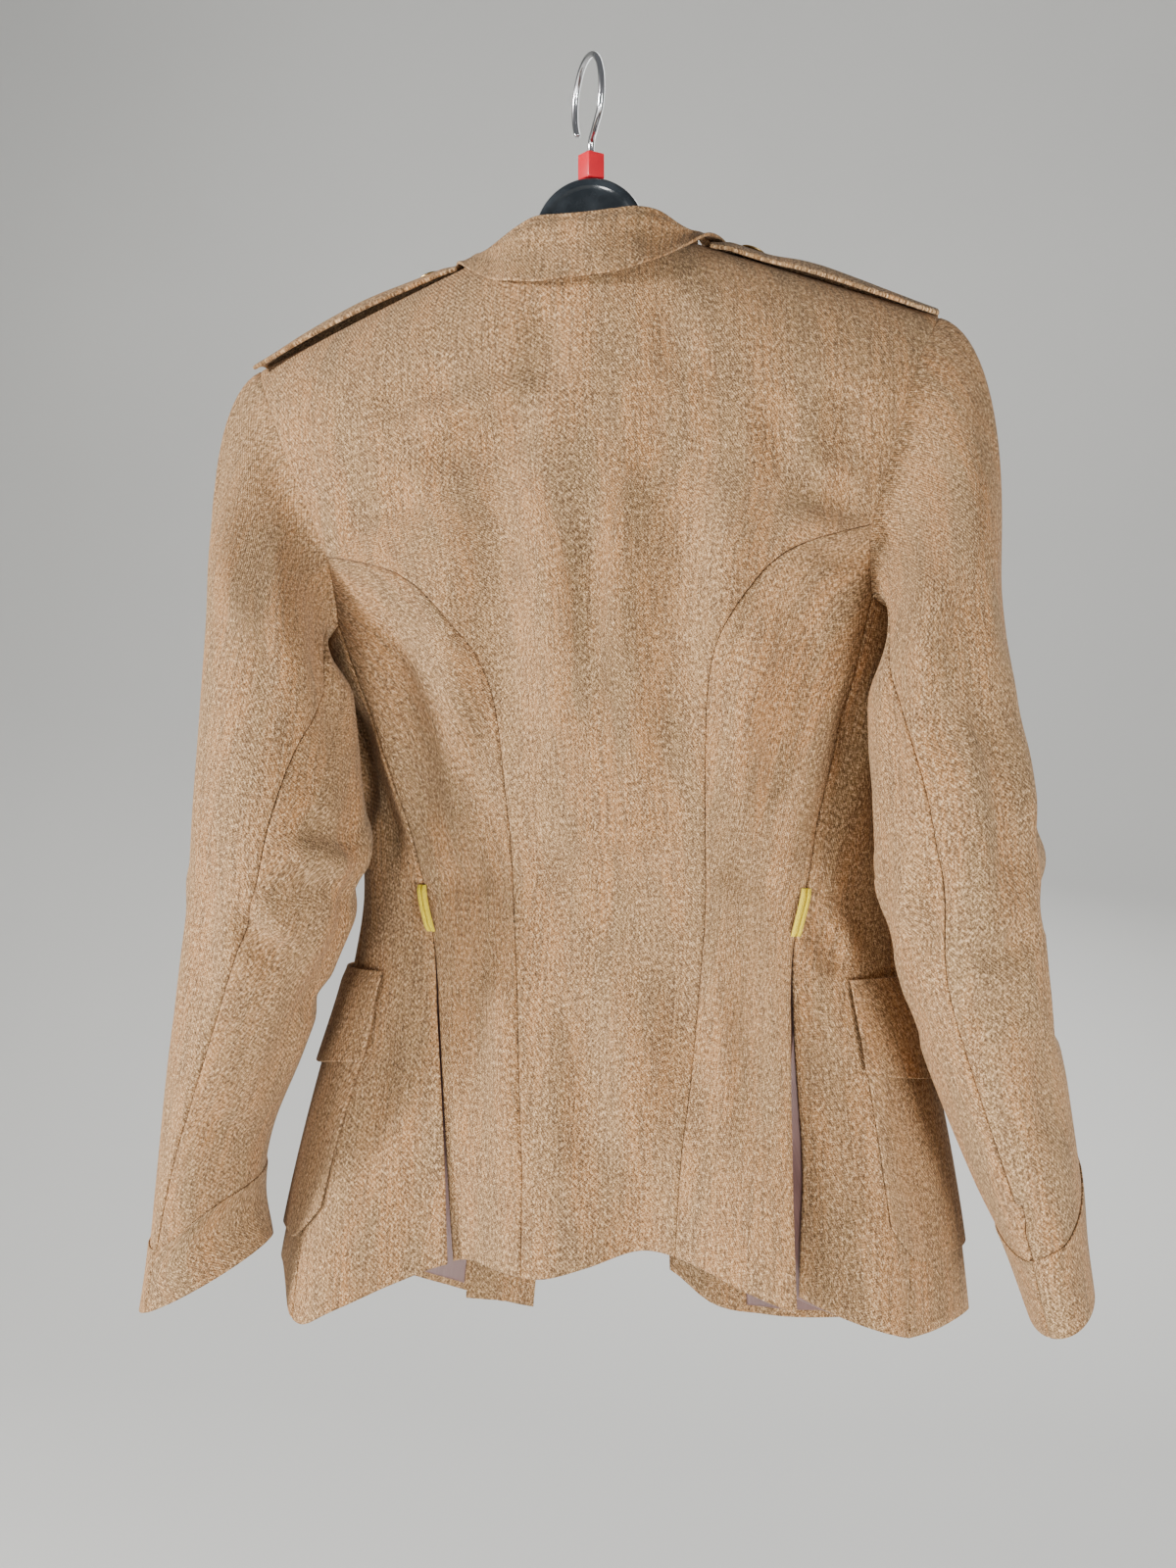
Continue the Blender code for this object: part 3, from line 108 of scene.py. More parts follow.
class Table:
    """Rows with named columns, read as smooth curves over the first column."""

    def __init__(self, names, rows):
        self.names = names.split()
        self.rows = np.array(sorted(rows), float)

    def at(self, name, key):
        keys = self.rows[:, 0]
        values = self.rows[:, self.names.index(name)]
        slopes = np.gradient(values, keys)
        key = np.clip(key, keys[0], keys[-1])
        i = np.clip(np.searchsorted(keys, key) - 1, 0, len(keys) - 2)
        span = keys[i + 1] - keys[i]
        t = (key - keys[i]) / span
        return (
            values[i] * (1 + 2 * t) * (1 - t) ** 2
            + values[i + 1] * t * t * (3 - 2 * t)
            + span * slopes[i] * t * (1 - t) ** 2
            - span * slopes[i + 1] * t * t * (1 - t)
        )


BODY = Table(
    "height half_width middle back front",
    [
        (-90, 250, 0, 58, 46),
        (-172, 237, 2, 62, 56),
        (-237, 217, 8, 78, 66),
        (-285, 199, 12, 86, 74),
        (-320, 189, 14, 88, 77),
        (-358, 182, 15, 88, 77),
        (-400, 176, 17, 83, 72),
        (-437, 171, 18, 78, 68),
        (-478, 167, 18, 70, 62),
        (-515, 166, 18, 65, 58),
        (-555, 172, 17, 68, 57),
        (-625, 189, 15, 78, 58),
        (-675, 199, 13, 85, 60),
        (-717, 206, 12, 90, 60),
        (-760, 211, 11, 93, 60),
        (-800, 215, 10, 95, 60),
    ],
)
PRINCESS_SEAM = Table(
    "height across",
    [(-750, 43), (-657, 46), (-585, 52), (-517, 57), (-471, 58), (-421, 61), (-394, 64),
     (-360, 74), (-334, 93), (-321, 106), (-312, 121), (-304.5, 145), (-300, 164)],
)
VENT_SEAM = Table(
    "height across",
    [(-760, 107), (-655, 106.5), (-585, 107), (-530, 109), (-503, 115), (-478, 121),
     (-437, 133), (-397, 144), (-358, 155), (-340, 160)],
)
SIDE_SEAM = Table(
    "height angle",
    [(-790, 54), (-740, 57), (-650, 64), (-557, 72), (-513, 79), (-437, 88), (-358, 96)],
)
BACK_ARMHOLE = Table(
    "height across",
    [(-175, 210.5), (-205, 197), (-237, 186), (-262, 177), (-285, 169), (-300, 164),
     (-325, 160.5), (-340, 160)],
)
FRONT_ARMHOLE = Table(
    "height angle",
    [(-358, 96), (-345, 112), (-325, 122), (-300, 128), (-262, 127), (-225, 123),
     (-195, 119.5), (-175, 117.37)],
)
FRONT_EDGE = Table(
    "height left right",
    [(-790, -68, 22), (-700, -60, 19), (-600, -48, 16), (-500, -36, 15), (-400, -24, 15)],
)
BREAK_Z = -400.0
ROLL_LINE = Table(
    "height left right",
    [(-400, -24, 15), (-340, -33, 25), (-270, -44, 39), (-200, -56, 53), (-150, -64, 63),
     (-120.2, -68, 68)],
)
HEM = Table(
    "angle height",
    [(-180, -786), (-160, -786), (-142, -772), (-115, -750), (-90, -739), (-74, -740),
     (-65, -748), (-57, -761), (-51, -762), (-44, -750), (-38, -737), (-31, -726), (-17, -724),
     (-8, -724), (-2, -719),
     (7, -711), (15, -716), (24, -728), (32, -738), (42, -750), (52, -756), (90, -757),
     (120, -766), (140, -780), (158, -784), (168, -776), (173, -760), (180, -745)],
)
# about where each seam meets the hem
PRINCESS_FOOT_Z = -720
VENT_FOOT_Z = -730
SIDE_FOOT_Z = -757
EDGE_FOOT_Z = -785
VENT_TOP_Z = -532.0
VENT_EASE = 40  # how far below its top a vent has its full width
VENT_WIDE_EASE = 150
VENT_APART = 0.5
VENT_LAP = -1.5  # on the left the side panel laps over the back, by more than the gap
VENT_OPEN = 5.6  # on the right the vent stands open at the hem
HEM_Z = -735.0
BACK_FOLDS = (
    # angle at the hem, angle at its top, depth, half width, top
    (-31, -39, -26, 12, -530),
    (-10, -12, 9, 9, -560),
    (9, 10, -17, 9, -600),
    (31, 39, 15, 13, -535),
)
SIDE_FOLDS = (
    (-31, -39, -21, 9, -532),
    (-49, -56, 17, 14, -545),
    (-82, -84, 8, 16, -560),
    (31, 39, -33, 9, -535),
    (45, 52, 7, 10, -560),
    (72, 74, -6, 15, -580),
    (-150, -150, 5, 16, -560),
    (-125, -122, -6, 14, -540),
    (152, 152, 6, 15, -560),
    (126, 122, -6, 14, -540),
)


def smooth(low, high, value):
    """0 at low, 1 at high, and a smooth step between them; high may be the lower one."""
    t = np.clip((value - low) / (high - low), 0.0, 1.0)
    return t * t * (3 - 2 * t)


def shoulder_height(across):
    return TIP_Z + SHOULDER_SLOPE * (TIP_X - np.abs(across))


def fold_depth(folds, angle, height):
    total = np.zeros(np.broadcast(angle, height).shape)
    for foot, high, depth, half_width, top in folds:
        centre = foot + (high - foot) * (height - HEM_Z) / (top - HEM_Z)
        share = np.minimum(np.abs(angle - centre) / half_width, 2.0)
        bump = np.cos(share * math.pi / 4) ** 2
        rise = np.clip((top - height) / (top - HEM_Z), 0.0, 1.25)
        total += depth * bump * rise**1.3
    return total


def hang(point):
    """Moves points of the level jacket to where they are on the tilted, swaying hanger."""
    x, y, z = np.moveaxis(np.asarray(point, float), -1, 0)
    tilt = x * SHOULDER_TILT * smooth(TILT_ENDS_Z, TILT_FULL_Z, z)
    sway = SWAY * smooth(SWAY_STARTS_Z, SWAY_FULL_Z, z)
    return np.stack([x + sway, y, z + tilt], -1)


def body_point(angle, height, folds):
    a = np.radians(angle)
    across = BODY.at("half_width", height) * np.sin(a)
    facing = np.cos(a)
    behind = facing >= 0
    near = np.where(behind, facing, 0.0)
    far = np.where(behind, 0.0, -facing)
    depth = (
        BODY.at("middle", height)
        - BODY.at("back", height) * near * (1.25 - 0.25 * near**2)
        + BODY.at("front", height) * far * (1.5 - 0.5 * far**2)
    )
    rounding = np.where(behind, SHOULDER_ROUND_BACK, SHOULDER_ROUND_FRONT)
    below = np.clip((shoulder_height(across) - height) / rounding, 0.0, 1.0)
    depth = depth * np.sqrt(1 - (1 - below) ** 2)
    out = fold_depth(folds, angle, height)
    level = np.stack([across + out * np.sin(a), depth - out * facing, height + 0 * a], -1)
    return hang(level)


def unit(vectors):
    return vectors / np.maximum(np.linalg.norm(vectors, axis=-1, keepdims=True), 1e-9)


def body_normal(angle, height, folds):
    angle, height = np.broadcast_arrays(np.asarray(angle, float), np.asarray(height, float))
    round_body = body_point(angle + 0.6, height, folds) - body_point(angle - 0.6, height, folds)
    upward = body_point(angle, height + 1.0, folds) - body_point(angle, height - 1.0, folds)
    normal = unit(np.cross(round_body, upward))
    across = BODY.at("half_width", height) * np.sin(np.radians(angle))
    below = shoulder_height(across) - height
    on_top = np.zeros(normal.shape)
    on_top[..., 0] = np.copysign(SHOULDER_SLOPE, across) - SHOULDER_TILT
    on_top[..., 2] = 1.0
    share = smooth(0.0, 9.0, below)[..., None]
    return unit(normal * share + unit(on_top) * (1 - share))


def angle_of(across, height, front=False):
    share = np.clip(across / BODY.at("half_width", height), -1.0, 1.0)
    angle = np.degrees(np.arcsin(share))
    return np.copysign(180.0, across) - angle if front else angle


def front_angle(across, height, side):
    share = across / BODY.at("half_width", height)
    return side * 180.0 - np.degrees(np.arcsin(share))


def heights(low, high, count, bend=1.0):
    return high - (high - low) * (1 - np.arange(count + 1) / count) ** bend


def line(angle, height):
    return np.stack(np.broadcast_arrays(angle, height), -1).astype(float)


def hem_height(angle):
    return HEM.at("height", angle)


def across_line(table, side, rows):
    """A line at the distances from the middle that a table gives for its heights."""
    return line(side * angle_of(table.at("across", rows), rows), rows)


def princess_seam(side):
    foot = across_line(PRINCESS_SEAM, side, PRINCESS_FOOT_Z)[0]
    rows = heights(hem_height(foot), BACK_CORNER_Z, SEAM_ROWS * FINE, 1.4)
    return across_line(PRINCESS_SEAM, side, rows)


def vent_seam(side, apart):
    """The edge beside a vent, moved apart by so many degrees from the vent's top down."""
    foot = across_line(VENT_SEAM, side, VENT_FOOT_Z)[0]
    seam = across_line(VENT_SEAM, side, heights(hem_height(foot), SIDE_CORNER_Z, SEAM_ROWS * FINE))
    full_z = VENT_TOP_Z - (VENT_EASE if abs(apart) < 1 else VENT_WIDE_EASE)
    seam[:, 0] += side * apart * smooth(VENT_TOP_Z + 4, full_z, seam[:, 1])
    return seam


def side_seam(side):
    foot = hem_height(side * SIDE_SEAM.at("angle", SIDE_FOOT_Z))
    rows = heights(foot, UNDERARM_Z, SEAM_ROWS * FINE)
    return line(side * SIDE_SEAM.at("angle", rows), rows)


def edge_across(height, side):
    name = "right" if side > 0 else "left"
    return np.where(height < BREAK_Z, FRONT_EDGE.at(name, height), ROLL_LINE.at(name, height))


def front_edge(side):
    """From the hem to the break, then up the roll line to the neck point."""
    name = "right" if side > 0 else "left"
    foot = hem_height(side * 180 - angle_of(FRONT_EDGE.at(name, EDGE_FOOT_Z), EDGE_FOOT_Z))
    low = heights(foot, BREAK_Z, SEAM_ROWS * FINE)
    high = heights(BREAK_Z, shoulder_height(NECK_X), YOKE_ROWS * FINE, 1.25)[1:]
    rows = np.concatenate([low, high])
    return line(front_angle(edge_across(rows, side), rows, side), rows)


def back_armhole(side):
    rows = heights(BACK_CORNER_Z, TIP_Z, YOKE_ROWS * FINE, 1.15)
    return across_line(BACK_ARMHOLE, side, rows)


def low_back_armhole(side):
    rows = heights(BACK_CORNER_Z, SIDE_CORNER_Z, SIDE_BACK_COLUMNS * FINE)
    return across_line(BACK_ARMHOLE, side, rows)


def underarm(side):
    first = angle_of(BACK_ARMHOLE.at("across", SIDE_CORNER_Z), SIDE_CORNER_Z)
    share = np.linspace(0, 1, SIDE_PANEL_COLUMNS * FINE + 1)
    angle = first + (UNDERARM_ANGLE - first) * share
    drop = np.sin(share * math.pi / 2) ** 0.8
    return line(side * angle, SIDE_CORNER_Z + (UNDERARM_Z - SIDE_CORNER_Z) * drop)


def front_armhole(side):
    rows = heights(UNDERARM_Z, TIP_Z, YOKE_ROWS * FINE, 1.1)
    return line(side * FRONT_ARMHOLE.at("angle", rows), rows)


def shoulder_line(from_across, to_across, front, columns):
    across = np.linspace(from_across, to_across, columns + 1)
    height = shoulder_height(across)
    return line(angle_of(across, height, front), height)


def hem_line(first, last, columns):
    angle = np.linspace(first, last, columns + 1)
    return line(angle, hem_height(angle))


def patch(bottom, top, left, right):
    """A four-sided patch of (angle, height) from its four sides, rows from the bottom."""
    rise = (left[:, 1] - left[0, 1]) / (left[-1, 1] - left[0, 1])
    other = (right[:, 1] - right[0, 1]) / (right[-1, 1] - right[0, 1])
    u = np.linspace(0, 1, len(bottom))[None, :, None]
    v = rise[:, None, None] * (1 - u) + other[:, None, None] * u
    return (
        left[:, None] * (1 - u)
        + right[:, None] * u
        + bottom[None] * (1 - v)
        + top[None] * v
        - bottom[0] * (1 - u) * (1 - v)
        - bottom[-1] * u * (1 - v)
        - top[0] * (1 - u) * v
        - top[-1] * u * v
    )


def ordered(side, bottom, top, left, right):
    if side > 0:
        return bottom, top, left, right
    return bottom[::-1], top[::-1], right, left


# Creases, given one by one. Those of the back and the sleeves are placed in the frame of
# the photograph, in its pixels, the others in millimetres as seen from the side they face


AHEAD = np.array([-math.sin(CAMERA_TURN), math.cos(CAMERA_TURN), 0.0])
RIGHT = np.array([math.cos(CAMERA_TURN), math.sin(CAMERA_TURN), 0.0])


def in_photo(points):
    """Where points are in the photograph's frame, in its pixels."""
    away = points - CAMERA_AT
    pixels = CAMERA_LENS / SENSOR_WIDTH * FRAME_PIXELS[1]
    depth = away @ AHEAD
    across = FRAME_PIXELS[0] / 2 + pixels * (away @ RIGHT) / depth
    down = FRAME_PIXELS[1] / 2 - pixels * (away @ UP) / depth
    return np.stack([across, down], -1)


SIGHTS = {
    # view: which way it looks, and how points are read in it
    "photo": (AHEAD, in_photo),
    "front": (np.array([0.0, -1.0, 0.0]), lambda p: p[..., [0, 2]]),
    "left": (np.array([1.0, 0.0, 0.0]), lambda p: p[..., [1, 2]]),
    "right": (np.array([-1.0, 0.0, 0.0]), lambda p: p[..., [1, 2]]),
}

# for each view: depth (a ridge is positive, in mm), half width, points along it
BODY_CREASES = {
    "photo": (
        # the long soft troughs inside the two seams, and the ridges between them
        (-2.3, 24, [(506, 400), (507, 500), (508, 600), (516, 700), (528, 820)]),
        (1.8, 25, [(556, 420), (562, 560), (570, 700), (586, 800)]),
        (-0.7, 13, [(596, 500), (604, 610), (608, 700)]),
        (0.8, 16, [(620, 430), (626, 560), (630, 720)]),
        (-0.6, 15, [(652, 560), (650, 660), (640, 740)]),
        # beside the right seam
        (-2.2, 24, [(676, 410), (688, 520), (694, 640), (697, 760), (706, 850)]),
        (1.0, 18, [(742, 470), (742, 560), (716, 700)]),
        # drag lines over the left shoulder blade
        (-1.6, 15, [(566, 418), (500, 446), (420, 474)]),
        (1.1, 14, [(556, 394), (490, 414), (410, 440)]),
        (-1.0, 12, [(470, 380), (420, 398), (372, 424)]),
        (-1.0, 11, [(430, 500), (385, 520), (345, 530)]),
        # over the right shoulder blade
        (-1.3, 14, [(800, 492), (842, 510), (886, 512)]),
        (0.9, 11, [(806, 520), (846, 540), (890, 536)]),
        (-1.2, 10, [(826, 556), (860, 566), (890, 562)]),
        (-0.9, 13, [(780, 400), (796, 450), (800, 500)]),
        (-0.8, 16, [(870, 380), (862, 430), (860, 480)]),
        # under the collar
        (-1.0, 15, [(560, 300), (556, 350), (548, 400)]),
        (-0.8, 14, [(680, 290), (690, 340), (694, 400)]),
        # side backs
        (-1.5, 13, [(388, 610), (408, 700), (430, 800), (446, 880)]),
        (1.0, 12, [(440, 600), (462, 700), (474, 800)]),
        (-1.4, 13, [(826, 600), (806, 700), (790, 800), (782, 870)]),
        (1.0, 12, [(784, 620), (762, 720), (752, 820)]),
        # under the arms, pulling to the waist
        (-1.8, 11, [(352, 700), (368, 780), (396, 860), (414, 900)]),
        (-1.6, 11, [(880, 680), (862, 770), (838, 850), (824, 896)]),
        # round the waist
        (-1.2, 12, [(530, 872), (590, 886), (650, 884), (708, 872)]),
        (1.0, 13, [(540, 842), (600, 852), (690, 844)]),
        (-1.1, 10, [(440, 892), (476, 900), (508, 896)]),
        (-1.1, 10, [(730, 888), (768, 900), (804, 904)]),
        (-1.3, 9, [(826, 930), (844, 962), (858, 1000)]),
        (0.9, 8, [(832, 916), (856, 944), (872, 986)]),
        # skirt
        (-1.5, 17, [(590, 1000), (596, 1100), (600, 1220)]),
        (1.3, 18, [(636, 980), (646, 1100), (650, 1200)]),
        (-1.3, 16, [(690, 960), (704, 1060), (716, 1180)]),
        (-1.2, 15, [(478, 960), (484, 1060), (486, 1180)]),
        (1.0, 13, [(506, 980), (514, 1090), (518, 1200)]),
        (-1.2, 14, [(762, 960), (766, 1060), (764, 1200)]),
        (-1.4, 15, [(392, 1010), (380, 1120), (366, 1240)]),
        (-1.2, 15, [(866, 1060), (876, 1160), (884, 1270)]),
    ),
    "front": (
        (-1.5, 15, [(-150, -300), (-112, -336), (-84, -380)]),
        (1.0, 13, [(-146, -276), (-100, -306), (-70, -340)]),
        (-1.4, 14, [(150, -300), (118, -340), (92, -390)]),
        (0.9, 13, [(146, -272), (112, -300), (84, -344)]),
        (-1.3, 13, [(-60, -404), (-88, -430), (-118, -470)]),
        (-1.2, 12, [(70, -420), (98, -452), (124, -490)]),
        (-1.3, 13, [(-120, -500), (-86, -516), (-52, -512)]),
        (-1.1, 12, [(56, -506), (92, -520), (132, -506)]),
        (-1.4, 17, [(-92, -560), (-98, -640), (-108, -740)]),
        (-1.3, 16, [(80, -560), (88, -640), (90, -740)]),
        (1.0, 15, [(-60, -560), (-72, -660), (-80, -750)]),
        (-1.0, 12, [(-140, -210), (-120, -240), (-110, -280)]),
        (-1.1, 12, [(136, -200), (122, -236), (118, -280)]),
    ),
    "left": (
        # under the arms
        (-1.5, 12, [(-20, -372), (-14, -420), (-4, -480)]),
        (-1.3, 12, [(30, -380), (24, -430), (16, -486)]),
        (1.0, 10, [(6, -372), (6, -430), (8, -500)]),
    ),
    "right": (
        (-1.4, 12, [(-14, -376), (-10, -430), (-6, -490)]),
        (-1.4, 11, [(34, -384), (28, -436), (14, -480)]),
    ),
}
CREASE_STRENGTH = 3.0  # times the depths given here
BODY_DEPTH = 1.4  # the body's creases are deeper than the sleeves'
CREASE_SPREAD = 1.35  # times the half widths given here
PHOTO_SCALE = 0.6  # mm for each pixel at the jacket
SLEEVE_CREASES = {
    "photo": (
        # left sleeve: round the elbow, and along the forearm
        (-2.2, 12, [(232, 930), (262, 958), (296, 990)]),
        (1.4, 11, [(246, 912), (280, 936), (310, 968)]),
        (-1.8, 12, [(372, 872), (340, 850), (296, 838)]),
        (-1.5, 11, [(360, 900), (326, 906), (290, 896)]),
        (1.2, 11, [(366, 884), (330, 876), (290, 866)]),
        (-1.4, 14, [(236, 420), (232, 520), (228, 620), (222, 720)]),
        (-1.6, 12, [(330, 600), (334, 680), (346, 780)]),
        (1.2, 13, [(290, 520), (296, 640), (300, 760)]),
        (-1.3, 13, [(262, 480), (256, 600), (262, 700)]),
        (-1.2, 11, [(212, 860), (208, 960), (200, 1060)]),
        (-1.4, 12, [(322, 960), (300, 1050), (276, 1130)]),
        (-1.0, 10, [(186, 1130), (220, 1150), (262, 1160)]),
        (-1.0, 13, [(262, 390), (290, 420), (304, 470)]),
        # right sleeve
        (-2.4, 12, [(950, 866), (948, 920), (936, 984)]),
        (1.5, 10, [(934, 850), (930, 910), (920, 960)]),
        (-2.0, 14, [(1008, 660), (1020, 760), (1034, 860), (1040, 950)]),
        (1.6, 13, [(1034, 640), (1046, 760), (1056, 880)]),
        (-1.8, 13, [(982, 560), (988, 660), (996, 780)]),
        (-1.5, 12, [(958, 590), (962, 680), (968, 800)]),
        (1.2, 12, [(946, 560), (944, 640), (950, 720)]),
        (-1.7, 11, [(1062, 940), (1030, 972), (992, 990)]),
        (-1.4, 11, [(1050, 1010), (1016, 1030), (980, 1036)]),
        (-1.8, 9, [(1036, 1226), (1048, 1242), (1058, 1252)]),
        (-1.3, 12, [(1064, 1040), (1070, 1120), (1074, 1180)]),
        (-1.3, 11, [(932, 470), (952, 482), (976, 480)]),
        (-1.1, 12, [(904, 640), (906, 740), (914, 840)]),
    ),
    "left": (
        (-1.6, 13, [(-60, -420), (-58, -520), (-50, -600)]),
        (-1.8, 12, [(-20, -500), (-50, -524), (-84, -530)]),
        (1.2, 11, [(-20, -470), (-50, -496), (-84, -506)]),
        (-1.4, 12, [(-10, -560), (-44, -578), (-80, -572)]),
        (-1.3, 13, [(0, -250), (-20, -320), (-28, -400)]),
    ),
    "front": (
        (-1.6, 12, [(-220, -480), (-190, -500), (-150, -504)]),
        (-1.5, 12, [(-236, -540), (-204, -552), (-170, -548)]),
        (-1.2, 13, [(-200, -300), (-206, -360), (-200, -440)]),
        (-1.6, 12, [(190, -486), (222, -500), (262, -496)]),
        (-1.4, 12, [(200, -540), (236, -556), (276, -548)]),
        (-1.2, 13, [(214, -300), (222, -370), (222, -440)]),
    ),
    "right": (
        (-1.6, 13, [(-70, -420), (-66, -520), (-60, -610)]),
        (-1.8, 12, [(-14, -486), (-52, -512), (-92, -512)]),
        (1.2, 11, [(-14, -460), (-52, -484), (-90, -490)]),
        (-1.4, 12, [(-8, -556), (-46, -574), (-84, -570)]),
        (-1.2, 12, [(10, -250), (-6, -320), (-20, -390)]),
    ),
}


def along_line(places, corners):
    """Distance of places from a line through corners, and how far along it, 0 to 1."""
    corners = np.array(corners, float)
    steps = np.linalg.norm(np.diff(corners, axis=0), axis=1)
    starts = np.concatenate([[0], np.cumsum(steps)])
    best = np.full(places.shape[:-1], 1e9)
    where = np.zeros(places.shape[:-1])
    for k, step in enumerate(steps):
        way = (corners[k + 1] - corners[k]) / step
        offset = places - corners[k]
        t = np.clip(offset @ way, 0, step)
        gap = np.linalg.norm(offset - t[..., None] * way, axis=-1)
        nearer = gap < best
        best = np.where(nearer, gap, best)
        where = np.where(nearer, (starts[k] + t) / starts[-1], where)
    return best, where


def relief(points, normals, creases):
    """How far the creases move each point along its normal."""
    total = np.zeros(points.shape[:-1])
    for view, rows in creases.items():
        way, read = SIGHTS[view]
        facing, seen = smooth(0.1, 0.5, -(normals @ way)), read(points)
        scale = PHOTO_SCALE if view == "photo" else 1.0
        for depth, half_width, corners in rows:
            gap, where = along_line(seen, corners)
            share = np.clip(gap * scale / (half_width * CREASE_SPREAD), 0, 1)
            fade = smooth(0.0, 0.3, where) * smooth(1.0, 0.7, where)
            total += depth * (1 - share**2) ** 2 * fade * facing
    return total * CREASE_STRENGTH


# Looks


class Nodes:
    """Builds a material's nodes with short calls."""

    def __init__(self, name):
        self.made = bpy.data.materials.new(name)
        self.made.use_nodes = True
        self.tree = self.made.node_tree
        self.shader = self.tree.nodes["Principled BSDF"]

    def add(self, kind, **values):
        node = self.tree.nodes.new(kind)
        for key, value in values.items():
            setattr(node, key, value)
        return node

    def feed(self, socket, value):
        if isinstance(value, bpy.types.NodeSocket):
            self.tree.links.new(value, socket)
        else:
            socket.default_value = value

    def math(self, operation, *values):
        node = self.add("ShaderNodeMath", operation=operation)
        for socket, value in zip(node.inputs, values):
            self.feed(socket, value)
        return node.outputs[0]

    def cloth(self):
        return self.add("ShaderNodeUVMap", uv_map="cloth").outputs[0]

    def scaled(self, vector, scale):
        node = self.add("ShaderNodeVectorMath", operation="MULTIPLY")
        self.feed(node.inputs[0], vector)
        node.inputs[1].default_value = scale
        return node.outputs[0]

    def turned(self, vector, angle):
        node = self.add("ShaderNodeMapping")
        self.feed(node.inputs["Vector"], vector)
        node.inputs["Rotation"].default_value = (0.0, 0.0, angle)
        return node.outputs[0]

    def noise(self, vector, scale, detail=2.0, roughness=0.5):
        node = self.add("ShaderNodeTexNoise")
        self.feed(node.inputs["Vector"], vector)
        node.inputs["Scale"].default_value = scale
        node.inputs["Detail"].default_value = detail
        node.inputs["Roughness"].default_value = roughness
        return node.outputs["Fac"]

    def wave(self, vector, across, up, period, wobble=0.0):
        """A sine over the cloth whose crests are square to (across, up)."""
        node = self.add("ShaderNodeVectorMath", operation="DOT_PRODUCT")
        self.feed(node.inputs[0], vector)
        length = math.hypot(across, up)
        turns = 2 * math.pi / period
        node.inputs[1].default_value = (across / length * turns, up / length * turns, 0.0)
        phase = self.math("ADD", node.outputs["Value"], wobble)
        return self.math("SINE", phase)

    def ramp(self, value, low, high, start=0.0, end=1.0):
        """value, from low..high to start..end, held at both ends."""
        node = self.add("ShaderNodeMapRange")
        for key, number in zip(("Value", "From Min", "From Max", "To Min", "To Max"),
                               (value, low, high, start, end)):
            self.feed(node.inputs[key], number)
        return node.outputs[0]

    def mix(self, share, first, second):
        node = self.add("ShaderNodeMix", data_type="RGBA")
        self.feed(node.inputs[0], share)
        for socket, colour in ((node.inputs[6], first), (node.inputs[7], second)):
            if not isinstance(colour, bpy.types.NodeSocket):
                colour = (*colour, 1.0)
            self.feed(socket, colour)
        return node.outputs[2]

    def mixed(self, colour, *steps):
        """The colour, with each (share, other colour) laid over it in turn."""
        for share, other in steps:
            colour = self.mix(share, colour, other)
        return colour

    def bump(self, height, distance, strength=1.0):
        node = self.add("ShaderNodeBump")
        self.feed(node.inputs["Height"], height)
        node.inputs["Distance"].default_value = distance
        node.inputs["Strength"].default_value = strength
        return node.outputs["Normal"]

    def finish(self, **inputs):
        for key, value in inputs.items():
            self.feed(self.shader.inputs[key.replace("_", " ")], value)
        return self.made


